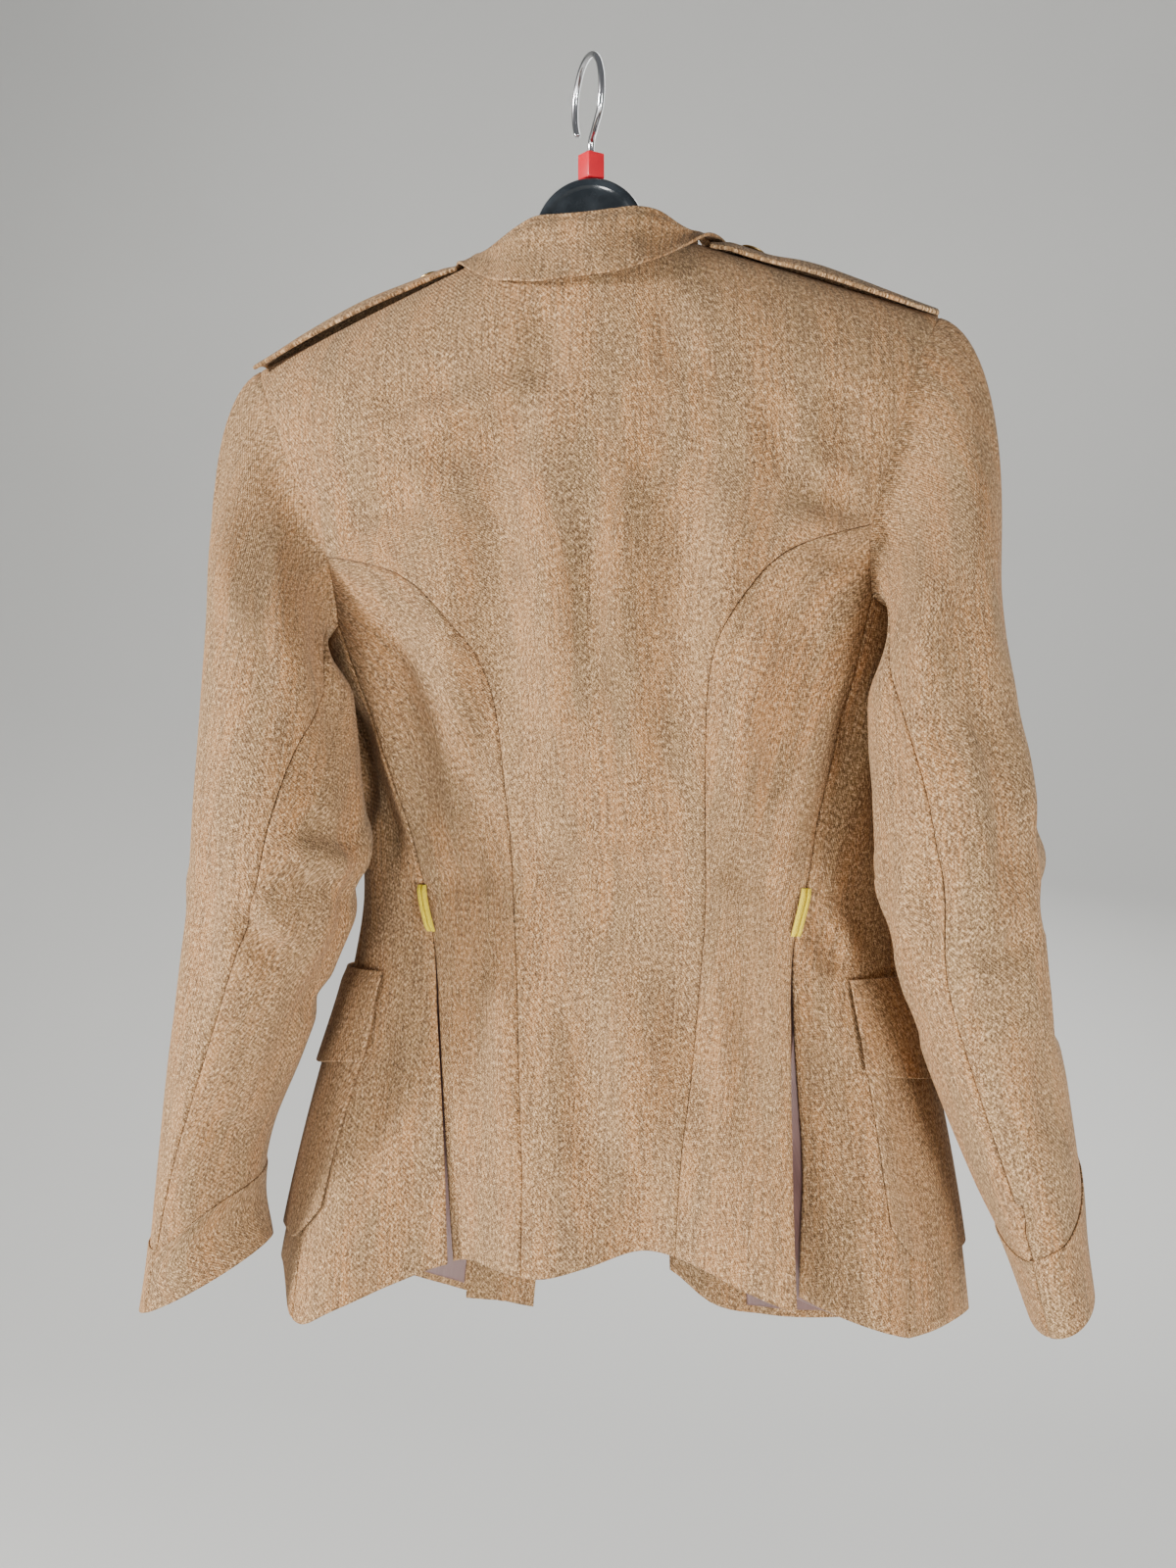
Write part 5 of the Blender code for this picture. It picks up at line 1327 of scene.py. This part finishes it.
def grid_normals(points, ring=False):
    if ring:
        across = np.roll(points, -1, axis=1) - np.roll(points, 1, axis=1)
    else:
        across = np.gradient(points, axis=1)
    return unit(np.cross(across, np.gradient(points, axis=0)))


COLLAR_CREASES = {
    "photo": (
        (-0.8, 16, [(540, 236), (548, 262), (560, 290)]),
        (0.7, 14, [(600, 214), (606, 246), (612, 280)]),
        (-0.7, 12, [(650, 216), (672, 244), (690, 262)]),
    ),
    "front": (
        (-1.0, 11, [(-86, -140), (-90, -156), (-92, -172)]),
        (-1.0, 11, [(88, -136), (92, -152), (94, -170)]),
    ),
}


def make_collar():
    steps = np.arange(-BACK_STEPS, BACK_STEPS + 1).astype(float)
    across = np.linspace(-NECK_X, NECK_X, len(steps))
    height = shoulder_height(NECK_X) - BACK_NECK_DIP * (1 - (across / NECK_X) ** 2)
    neckline = body_point(angle_of(across, height), height, ())
    fold, away = fold_frame(steps)
    foot = neckline + (SEAM_GAP + 0.1) * UP
    head = hang(fold - away * 0.25 - (COLLAR_CLOTH + 0.45) * UP)
    stand = rounded(np.stack([foot, (foot + head) / 2, head]), FINE, 1)
    stand = rounded(stand, FINE, 0)
    out = rounded(away[None] * np.ones((3, 1, 1)), FINE, 1)
    out = unit(rounded(out, FINE, 0))
    sew("collar_stand", stand, out, COLLAR_CLOTH, "folded", ("back_center",), "b", "tlr")

    steps = np.arange(-COLLAR_ENDS, COLLAR_ENDS + 1).astype(float)
    fold, away = fold_frame(steps)
    edge = collar_point(steps, 1)
    front = smooth(BACK_STEPS, BACK_STEPS + 2, np.abs(steps))[:, None]
    columns = [
        edge,
        edge * 0.72 + fold * 0.28,
        edge * 0.45 + fold * 0.55,
        edge * 0.2 + fold * 0.8 + away * 2.0,
        fold + away * 2.6 - 3.6 * UP,
        fold + away * 1.0 - 0.5 * UP,
        fold - away * (2.0 * (1 - front) + 0.2 * front),
    ]
    points = hang(np.stack(columns, 0))
    points = points + HULL.push(points, COLLAR_CLEAR)
    points = rounded(rounded(points, FINE, 1), FINE, 0)
    points = points + blurred(HULL.push(points, COLLAR_CLEAR), 3)
    normals = grid_normals(points)
    if normals[FINE, points.shape[1] // 2, 1] > 0:
        normals = -normals
    points = points + normals * relief(points, normals, COLLAR_CREASES)[..., None]
    sew("collar_fall", points, normals, COLLAR_CLOTH, "folded",
        ("back_center", "front_left", "front_right"))


# Shoulder straps


STRAP = Table(
    "across left right",
    [(72, 3.4, 3.4), (80, 4.2, 4.6), (88, 6.8, 7.4), (98, 8.0, 7.2), (112, 9.5, 7.0),
     (131, 11.5, 9.5), (143, 12, 9.8), (155, 11.5, 9.0), (183, 8.5, 6.2), (198, 5.5, 4.6),
     (209, 3.6, 3.6)],
)
STRAP_HALF_WIDTH = 23.0
STRAP_START = 75.5
STRAP_END = 209.3


def strap_point(side, u, v):
    """A point u of the way out along the strap, and v from its middle to an edge."""
    name = "right" if side > 0 else "left"
    end = STRAP_START + 2.5 * (v + 1) + 7.0 * np.maximum(np.abs(v) - 0.45, 0.0) ** 2
    across = end + (STRAP_END - end) * u
    rise = STRAP.at(name, across) * (1 - 0.6 * v * v) - 3.6 * v * v
    level = np.stack([side * across, STRAP_HALF_WIDTH * v + 0 * u,
                      shoulder_height(across) + rise], -1)
    return hang(level)


def make_strap(side, word):
    v, u = np.meshgrid(np.linspace(-1, 1, 6 * FINE + 1), np.linspace(0, 1, 14 * FINE + 1),
                       indexing="ij")
    points = strap_point(side, u, v)
    normals = grid_normals(points)
    if normals[0, 0, 2] < 0:
        normals = -normals
    sew(f"shoulder_strap_{word}", points, normals, STRAP_CLOTH, "laid",
        (f"front_{word}", "back_center"))


# Sleeves


SLEEVE_COLUMNS = "ring outer_x outer_z inner_x inner_z middle depth seam"
SLEEVES = {
    -1: Table(
        SLEEVE_COLUMNS,
        [
            (1, -223, -330, -133, -392, -46, 52, 150),
            (2, -225.5, -405, -131, -430, -52, 54, 122),
            (3, -227.5, -455, -126, -470, -57, 55, 104),
            (4, -230, -505, -127, -510, -60, 52, 95),
            (5, -237, -560, -146, -556, -58, 49, 90),
            (6, -246.5, -618, -168, -608, -52, 47, 83),
            (7, -256, -680, -189, -652, -44, 44, 70),
            (8, -264, -730, -197, -690, -38, 42, 56),
            (9, -271, -764, -193, -722, -35, 42, 48),
        ],
    ),
    1: Table(
        SLEEVE_COLUMNS,
        [
            (1, 244, -330, 170, -394, -48, 53, 135),
            (2, 252, -397, 171, -428, -54, 56, 116),
            (3, 262, -448, 172, -460, -60, 56, 107),
            (4, 268, -500, 176, -505, -62, 54, 104),
            (5, 273, -556, 187, -552, -60, 52, 112),
            (6, 280.5, -610, 204, -603, -54, 52, 111),
            (7, 288, -663, 228, -663, -46, 54, 111),
            (8, 291, -697, 246, -701, -40, 54, 114),
            (9, 295, -727, 261, -742, -36, 55, 122),
        ],
    ),
}
RINGS = 9
FRONT_SLEEVE_SEAM = 267.0
TURN = Table(
    "place turn",
    [(0, 0), (0.5, 8), (1, 22), (1.5, 48), (2, 76), (2.5, 98), (3, 104), (3.25, 90),
     (3.5, 62), (3.75, 26), (4, 0)],
)
BACK_SEAM_POINT = YOKE_ROWS + SIDE_BACK_COLUMNS
UNDERARM_POINT = BACK_SEAM_POINT + SIDE_PANEL_COLUMNS
FRONT_SEAM_POINT = UNDERARM_POINT + 2
AROUND = 2 * YOKE_ROWS + SIDE_BACK_COLUMNS + SIDE_PANEL_COLUMNS
ARMHOLE_CORNERS = (0, YOKE_ROWS, BACK_SEAM_POINT, UNDERARM_POINT, AROUND)
CAP_ROWS = 3 * FINE
RING_ROWS = 16 * FINE
CUFF_TOP = Table(
    "turn ring",
    [(-180, 7.2), (-150, 6.75), (-115, 6.85), (-80, 7.35), (-50, 7.7), (-20, 7.85),
     (0, 7.95), (60, 7.8), (130, 7.7), (165, 7.45), (180, 7.2)],
)
ARMHOLE_GAP = SEAM_GAP * 0.6
TUCK = 2.2  # how far the sleeve's head reaches in under the body's edge
TUCK_DEPTH = 0.4
CAP_OUT = 0.62  # how strongly the cap starts outward and ends downward
CAP_DOWN = 0.9
CAP_PUSHED_Z = -322.0  # below this the cap is held off the body
EASE_TIMES = 10
CUFF_RING = 8
CUFF_LIFT = 1.2  # the cuff band lies almost flush with the sleeve
CUFF_WALL = CUFF_LIFT - 0.1
SLEEVE_CLEAR = 5.0  # between the sleeve and the body
SLEEVE_CLEAR_LOW = 4.0  # more of it, over the pockets
SLEEVE_TURN_UP = 40.0


class Sleeve:
    """Both panels of a sleeve as one fine ring, from the back seam round to it again."""

    def __init__(self, side):
        self.side = side
        self.table = SLEEVES[side]
        rows = np.concatenate([
            back_armhole(side)[::-1],
            low_back_armhole(side)[1:],
            underarm(side)[1:],
            front_armhole(side)[1:-1],
        ])
        edge = body_point(rows[:, 0], rows[:, 1], ())
        normals = body_normal(rows[:, 0], rows[:, 1], ())
        along = np.roll(edge, -1, axis=0) - np.roll(edge, 1, axis=0)
        beyond = unit(np.cross(normals, along) * side)
        k = np.arange(AROUND * FINE) / FINE
        places = np.interp(k, ARMHOLE_CORNERS, range(5))
        turn = np.radians(TURN.at("turn", places))[:, None]
        half = turn / 2
        edge = edge + ARMHOLE_GAP * (beyond * np.cos(half) + normals * np.sin(half))
        into = beyond * np.sin(turn) - normals * np.cos(turn)
        start = beyond * np.cos(turn) + normals * np.sin(turn)
        first = BACK_SEAM_POINT * FINE
        self.k = np.roll(k, -first)
        under = edge - beyond * TUCK - normals * (CLOTH + TUCK_DEPTH)
        self.edge, self.into, self.start, self.under = (
            np.roll(a, -first, 0) for a in (edge, into, start, under))
        self.make()

    def angle(self, ring, k):
        """Degrees round a ring for the armhole's point k, with the seams in their places."""
        seam = self.table.at("seam", ring)
        low = seam * k / BACK_SEAM_POINT
        share = (k - BACK_SEAM_POINT) / (FRONT_SEAM_POINT - BACK_SEAM_POINT)
        middle = seam + (FRONT_SLEEVE_SEAM - seam) * share
        share = (k - FRONT_SEAM_POINT) / (AROUND - FRONT_SEAM_POINT)
        high = FRONT_SLEEVE_SEAM + (360.0 - FRONT_SLEEVE_SEAM) * share
        return np.where(k <= BACK_SEAM_POINT, low, np.where(k <= FRONT_SEAM_POINT, middle, high))

    def ring_points(self, rings):
        at = self.table.at
        ring, k = np.meshgrid(rings, self.k, indexing="ij")
        zero = 0 * ring
        outer = np.stack([at("outer_x", ring), zero, at("outer_z", ring)], -1)
        inner = np.stack([at("inner_x", ring), zero, at("inner_z", ring)], -1)
        centre = (outer + inner) / 2 + np.stack([zero, at("middle", ring), zero], -1)
        a = np.radians(self.angle(ring, k))[..., None]
        back = np.stack([zero, -at("depth", ring), -5.0 * smooth(7, 9, ring)], -1)
        points = centre + (outer - inner) / 2 * np.cos(a) + back * np.sin(a)
        over_pocket = smooth(-530.0, -550.0, points[..., 2])
        return points, SLEEVE_CLEAR + SLEEVE_CLEAR_LOW * over_pocket

    def make(self):
        """The cap from the armhole down to the first ring, then the rings."""
        low, clearance = self.ring_points(np.linspace(1, RINGS, RING_ROWS + 1))
        low = low + blurred(HULL.push(low, clearance), 6, ring=True)
        t = np.linspace(0, 1, CAP_ROWS + 1)[:-1, None, None]
        foot, end = self.edge[None], low[:1]
        reach = np.linalg.norm(end - foot, axis=-1, keepdims=True)
        out = unit(self.start)[None] * reach * CAP_OUT
        down = np.array([-0.1 * self.side, 0.0, -1.0]) * reach * CAP_DOWN
        cap = (
            foot * (1 + 2 * t) * (1 - t) ** 2
            + end * t * t * (3 - 2 * t)
            + out * t * (1 - t) ** 2
            - down * t * t * (1 - t)
        )
        push = HULL.push(cap, SLEEVE_CLEAR * t[..., 0] ** 0.5, CAP_PUSHED_Z)
        cap = cap + blurred(push, 3, ring=True)
        cap[0] = self.edge
        points = np.concatenate([cap, low])
        # ease the join of the cap and the first ring
        soft = blurred(points, EASE_TIMES, ring=True)
        rows = np.arange(len(points))
        share = np.exp(-(((rows - CAP_ROWS) / (0.9 * FINE)) ** 2))[:, None, None] * 0.9
        points = points * (1 - share) + soft * share
        normals = grid_normals(points, ring=True)
        middle = points - points.mean(axis=1, keepdims=True)
        if np.sum(normals[CAP_ROWS:] * middle[CAP_ROWS:]) < 0:
            normals = -normals
        blend = smooth(0, FINE, rows)[:, None, None]
        normals = unit(normals * blend - unit(self.into)[None] * (1 - blend))
        amount = relief(points, normals, SLEEVE_CREASES) * smooth(0, 2 * FINE, rows)[:, None]
        self.points = points + normals * amount[..., None]
        self.normals = normals

    @staticmethod
    def close(grid):
        return np.concatenate([grid, grid[:, :1]], 1)

    def at_rings(self, rings, lift):
        """Points and directions at a ring value for each place of a grid, moved out."""
        places = CAP_ROWS + (rings - 1) / (RINGS - 1) * RING_ROWS
        points, normals = self.close(self.points), self.close(self.normals)
        low = np.clip(np.floor(places).astype(int), 0, len(points) - 2)
        share = (places - low)[..., None]
        columns = np.arange(points.shape[1])[None]
        p = points[low, columns] * (1 - share) + points[low + 1, columns] * share
        m = unit(normals[low, columns] * (1 - share) + normals[low + 1, columns] * share)
        return p + m * lift, m


def make_sleeve(side, word):
    sleeve = Sleeve(side)
    # the head's edge is tucked under the edge of the armhole
    points = sleeve.close(np.concatenate([sleeve.under[None], sleeve.points]))
    normals = sleeve.close(np.concatenate([sleeve.normals[:1], sleeve.normals]))
    seam = (FRONT_SEAM_POINT - BACK_SEAM_POINT) * FINE
    for panel, cut in (("undersleeve", np.s_[:, : seam + 1]), ("topsleeve", np.s_[:, seam:])):
        # rows from the cuff up, so that the weave runs as it does on the body
        outer = trimmed(points[cut][::-1], SEAM_GAP / 2, "lr")
        sew(f"{panel}_{word}", outer, normals[cut][::-1], CLOTH, "hung", HANGER, "lr", "b",
            inside=SATIN, turn_up=SLEEVE_TURN_UP)
    k = np.append(sleeve.k, BACK_SEAM_POINT)
    turn = sleeve.angle(CUFF_RING, k) - sleeve.table.at("seam", CUFF_RING)
    turn = (turn + 180.0) % 360.0 - 180.0
    turn[0], turn[-1] = 0.0, 0.0
    share, _ = shares(6 * FINE, 1)
    rings = RINGS + (CUFF_TOP.at("ring", turn)[None] - RINGS) * share
    points, normals = sleeve.at_rings(rings, CUFF_LIFT)
    points = trimmed(points, SEAM_GAP / 2, "lr")
    sew(f"cuff_{word}", points, normals, CUFF_WALL, "folded",
        (f"topsleeve_{word}", f"undersleeve_{word}"), "lr", "bt")


# Belt loops


LOOP_TOP_Z = -503.5
LOOP_FOOT_Z = -531.5
LOOP_WIDTH = 5.6


def make_loop(side, word):
    """Two cords side by side, standing off the vent seam."""
    v, u = shares(4 * FINE, 24)
    height = LOOP_FOOT_Z + (LOOP_TOP_Z - LOOP_FOOT_Z) * v + 0 * u
    across = side * VENT_SEAM.at("across", height) + (u - 0.5) * LOOP_WIDTH
    angle = angle_of(across, height)
    seat, normal = body_point(angle, height, ()), body_normal(angle, height, ())
    stand = 1.0 + 2.2 * np.sin(math.pi * v)
    cords = np.abs(np.sin(2 * math.pi * u)) ** 0.6 * 1.5 - 0.6
    ends = 1.3 * (smooth(0.12, 0.0, v) + smooth(0.88, 1.0, v))
    points = seat + normal * (stand + 1.6 + cords - ends)[..., None]
    inner = seat + normal * (stand - ends * 0.4)[..., None]
    far = edge_distances(points)
    name = f"belt_loop_{word}"
    obj = solid(name, points, inner, np.stack([far["l"], far["b"]], -1), CORD)
    wear(obj, "yellow_cord", name)
    hung(points)


# Buttons and hanger


def from_bmesh(name, bm, look):
    bmesh.ops.recalc_face_normals(bm, faces=bm.faces)
    mesh = bpy.data.meshes.new(name)
    bm.to_mesh(mesh)
    bm.free()
    mesh.materials.append(look)
    mesh.shade_smooth()
    mesh.set_sharp_from_angle(angle=SHARP_HARD)
    return placed(name + "_shaped", mesh)


def lofted(name, loops, look):
    """A closed skin over loops of points; a loop of one point is a tip."""
    bm = bmesh.new()
    loops = [[bm.verts.new(point * MM) for point in loop] for loop in loops]
    for low, high in zip(loops, loops[1:]):
        count = max(len(low), len(high))
        for k in range(count):
            m = (k + 1) % count
            corners = (low[k % len(low)], low[m % len(low)], high[m % len(high)],
                       high[k % len(high)])
            bm.faces.new(list(dict.fromkeys(corners)))
    for end in (loops[0], loops[-1]):
        if len(end) > 1:
            bm.faces.new(end)
    return from_bmesh(name, bm, look)


def circle(centre, side, other, radius, count):
    """count points round a centre, or the centre alone where the radius is 0."""
    if radius == 0:
        return [centre]
    turns = np.linspace(0, 2 * math.pi, count, endpoint=False)
    return [centre + radius * (side * math.cos(a) + other * math.sin(a)) for a in turns]


def revolved(name, centre, axes, profile, count, look):
    """A round piece from its profile of distances from the axis and places along it."""
    side, other, axis = axes
    loops = [circle(centre + axis * along, side, other, out, count) for out, along in profile]
    return lofted(name, loops, look)


BUTTON = (
    # distance from the axis, height, in radii, from the middle of the dome out
    (0.0, 0.575), (0.2, 0.565), (0.42, 0.53), (0.6, 0.47), (0.74, 0.39), (0.82, 0.32),
    (0.85, 0.27), (0.87, 0.255), (0.9, 0.27), (0.94, 0.29), (0.98, 0.26), (1.0, 0.19),
    (0.985, 0.1), (0.95, 0.04), (0.8, 0.0), (0.0, 0.0),
)


def make_button(name, centre, facing, radius, rise=1.0):
    facing = unit(np.asarray(facing, float))
    side = unit(np.cross(facing, (0.0, 0.0, 1.0) if abs(facing[2]) < 0.9 else (0.0, 1.0, 0.0)))
    axes = side, np.cross(facing, side), facing
    profile = [(out * radius, up * rise * radius) for out, up in BUTTON]
    obj = revolved(name, centre, axes, profile, 48, BRASS)
    wear(obj, "button_metal", name)


FRONT_BUTTONS_Z = (-405.0, -458.0, -511.0, -564.0)
FRONT_BUTTON_RADIUS = 11.0
FRONT_BUTTON_INSET = 20.0  # from the front's edge
STRAP_BUTTON_RADIUS = 8.0
STRAP_BUTTON_RISE = 0.65


def make_buttons():
    for count, height in enumerate(FRONT_BUTTONS_Z, 1):
        angle = front_angle(edge_across(height, -1) - FRONT_BUTTON_INSET, height, -1)
        normal = body_normal(angle, height, SIDE_FOLDS)
        centre = body_point(angle, height, SIDE_FOLDS) + normal * 0.5
        make_button(f"front_button_{count}", centre, normal, FRONT_BUTTON_RADIUS)
    for side, word in SIDES:
        centre, normal = strap_point(side, 0.165, 0.2), np.array([0.0, 0.1, 1.0])
        along = unit(strap_point(side, 0.2, 0.2) - strap_point(side, 0.12, 0.2))
        normal = unit(normal - along * (normal @ along))
        make_button(f"strap_button_{word}", centre + normal * 0.3, normal,
                    STRAP_BUTTON_RADIUS, STRAP_BUTTON_RISE)


HUB = np.array([2.0, 0.0, -108.0])
HUB_RADIUS = 34.0
WIRE_RADIUS = 2.0
BEND_RADIUS = 26.0
CUBE_HALF = 6.0
CUBE_EDGE = 0.9
CUBE_TOP_Z = -57.5
CUBE_FOOT_Z = -73.3
HOOK_PLANE = (-0.475, 0.88, 0.0)


HUB_PROFILE = (
    # distance from the axis, place along it, from the back to the middle
    (0, -6.6), (25.6, -6.6), (27.2, -6.8), (28.6, -7.6), (29.6, -8.0), (31.6, -8.0),
    (33.0, -7.5), (33.8, -6.4), (34.0, -5.0), (34.0, 0.0),
)
ARM_END = 196.0
ARM_HALF_DEPTH = 10.6
ARM_HALF_HEIGHT = 7.2
ARM_TAPER = 0.35
ARM_UNDER = CLOTH + FACING_CLOTH + LAYER_GAP + 2.6  # below the shoulder's outer side
WIRE_SIDES = 20


def make_hub():
    """A flat plate with a raised rim round a shallow, bare dish on both sides."""
    profile = HUB_PROFILE + tuple((r, -y) for r, y in reversed(HUB_PROFILE[:-1]))
    axes = np.array([(1.0, 0.0, 0.0), (0.0, 0.0, 1.0), (0.0, 1.0, 0.0)])
    obj = revolved("hanger_hub", HUB, axes, profile, 96, BLACK)
    wear(obj, "black_plastic", "hanger_hub")


def make_arm(side, word):
    loops = []
    for share in np.linspace(0, 1, (48) + 1):
        across = HUB_RADIUS + (ARM_END - HUB_RADIUS) * share
        top = float(shoulder_height(max(across, 78.0))) + 0.62 * max(72.0 - across, 0.0)
        top -= ARM_UNDER
        narrow = 1.0 - ARM_TAPER * share
        rounding = math.sqrt(max(1 - max((share - 0.96) / 0.045, 0.0) ** 2, 0.02))
        loop = []
        for a in np.linspace(0, 2 * math.pi, 20, endpoint=False):
            y = ARM_HALF_DEPTH * narrow * rounding * math.cos(a)
            z = top - 7.3 * narrow + ARM_HALF_HEIGHT * narrow * rounding * math.sin(a)
            point = hang((side * across, y, z))
            if share == 0:
                # the first loop lies on the hub's rim
                drop = point[2] - HUB[2]
                point[0] = HUB[0] + side * math.sqrt((HUB_RADIUS + 0.6) ** 2 - drop * drop)
            loop.append(point)
        loops.append(loop)
    name = f"hanger_arm_{word}"
    wear(lofted(name, loops, BLACK), "black_plastic", name)


def make_hook():
    """The wire, as a smooth tube with a rounded free end."""
    plane = unit(np.array(HOOK_PLANE))
    middle = np.array([0.0, 0.0, WIRE_RADIUS - BEND_RADIUS])
    corners = [
        middle + BEND_RADIUS * (math.cos(a) * plane + math.sin(a) * UP)
        for a in np.radians(np.arange(-38, 215, 18))
    ]
    foot = np.array([HUB[0], HUB[1], CUBE_TOP_Z + 6.0])
    corners += [corners[-1] * 0.45 + foot * 0.55 + np.array([0, -1.0, 0]), foot]
    corners.append(np.array([HUB[0], HUB[1], HUB[2] + HUB_RADIUS + 0.3]))
    path = rounded(np.array(corners)[:, None], 3 * FINE, 0)[:, 0]
    along = unit(np.gradient(path, axis=0))
    side = unit(np.cross(along[0], (0.3, 0.2, 1.0)))
    radii = np.full(len(path), WIRE_RADIUS)
    radii[:4] *= (0.45, 0.8, 0.95, 1.0)
    loops = []
    for point, direction, radius in zip(path, along, radii):
        side = unit(side - direction * (side @ direction))
        loops.append(circle(point, side, np.cross(direction, side), radius, WIRE_SIDES))
    wear(lofted("hook", loops, STEEL), "hook_steel", "hook")


def make_cube():
    """The size marker, threaded on the wire with one edge to the back, its faces bare."""
    bm = bmesh.new()
    bmesh.ops.create_cube(bm, size=1.0)
    size = np.array([2 * CUBE_HALF, 2 * CUBE_HALF, CUBE_TOP_Z - CUBE_FOOT_Z]) * MM
    bmesh.ops.scale(bm, vec=size.tolist(), verts=bm.verts)
    bmesh.ops.bevel(bm, geom=list(bm.edges), offset=CUBE_EDGE * MM, segments=4,
                    profile=0.5, affect="EDGES")
    obj = from_bmesh("hanger_cube", bm, RED)
    obj.rotation_euler = (0.0, 0.0, math.radians(45))
    obj.location = (HUB[0] * MM, HUB[1] * MM, (CUBE_TOP_Z + CUBE_FOOT_Z) / 2 * MM)
    wear(obj, "red_plastic", "hanger_cube")


# Everything

PAIRED = (
    make_side_back, make_side_panel, make_front, make_facing, make_lining, make_lapel,
    make_pocket, make_flap, make_strap, make_sleeve, make_loop, make_arm,
)

make_back()
make_collar()
for side, word in SIDES:
    for make in PAIRED:
        make(side, word)
make_buttons()
make_hub()
make_hook()
make_cube()

# Floor and light


FLOOR_COLOUR = (0.66, 0.66, 0.64)
FLOOR_Z = -1.25  # in metres, as are the places below
WALL_Y = 3.2
WALL_TOP = 7.0
SWEEP = 2.0
HALF_SPAN = 9.0
FLOOR_START = -6.0
AIM = Vector((0.0, 0.0, -0.45))
SKY_COLOUR = (0.95, 0.97, 1.0, 1.0)
SKY_STRENGTH = 0.2
WHITE = (1.0, 1.0, 1.0)
LAMPS = (
    # name, place, power, size, colour
    ("key", (-2.4, -1.2, 0.15), 150.0, 0.4, (1.0, 0.985, 0.96)),
    ("right", (2.0, -1.8, -0.5), 20.0, 0.5, WHITE),
    ("low_right", (1.0, -1.4, -1.0), 34.0, 0.4, WHITE),
    ("low_left", (-0.85, -1.55, -1.0), 14.0, 0.4, WHITE),
    ("behind", (0.4, 2.0, 0.6), 34.0, 1.8, WHITE),
)


def floor_look():
    n = Nodes("pale_floor")
    place = n.add("ShaderNodeTexCoord").outputs["Object"]
    tone = n.ramp(n.noise(place, 1.5, 2.0), 0.3, 0.7)
    light = tuple(c * 1.03 for c in FLOOR_COLOUR)
    return n.finish(Base_Color=n.mix(tone, FLOOR_COLOUR, light), Roughness=0.9)


def make_floor():
    """A wide pale floor that sweeps up into a wall far behind."""
    start = WALL_Y - SWEEP
    profile = [(FLOOR_START, FLOOR_Z), (start, FLOOR_Z)]
    for a in np.linspace(0, math.pi / 2, 24)[1:]:
        profile.append((start + SWEEP * math.sin(a), FLOOR_Z + SWEEP * (1 - math.cos(a))))
    profile.append((WALL_Y, FLOOR_Z + WALL_TOP))
    corners = [(x, y, z) for y, z in profile for x in (-HALF_SPAN, HALF_SPAN)]
    faces = [(2 * k, 2 * k + 1, 2 * k + 3, 2 * k + 2) for k in range(len(profile) - 1)]
    mesh = bpy.data.meshes.new("floor")
    mesh.from_pydata(corners, [], faces)
    mesh.materials.append(floor_look())
    mesh.shade_smooth()
    placed("floor", mesh)


def make_lights():
    world = bpy.data.worlds.new("studio")
    world.use_nodes = True
    sky = world.node_tree.nodes["Background"]
    sky.inputs["Color"].default_value = SKY_COLOUR
    sky.inputs["Strength"].default_value = SKY_STRENGTH
    bpy.context.scene.world = world
    for name, place, power, size, colour in LAMPS:
        data = bpy.data.lights.new(name, "AREA")
        data.shape = "DISK"
        data.energy, data.size, data.color = power, size, colour
        made = placed(name, data)
        made.location = place
        made.rotation_euler = (AIM - Vector(place)).to_track_quat("-Z", "Y").to_euler()


make_floor()
make_lights()
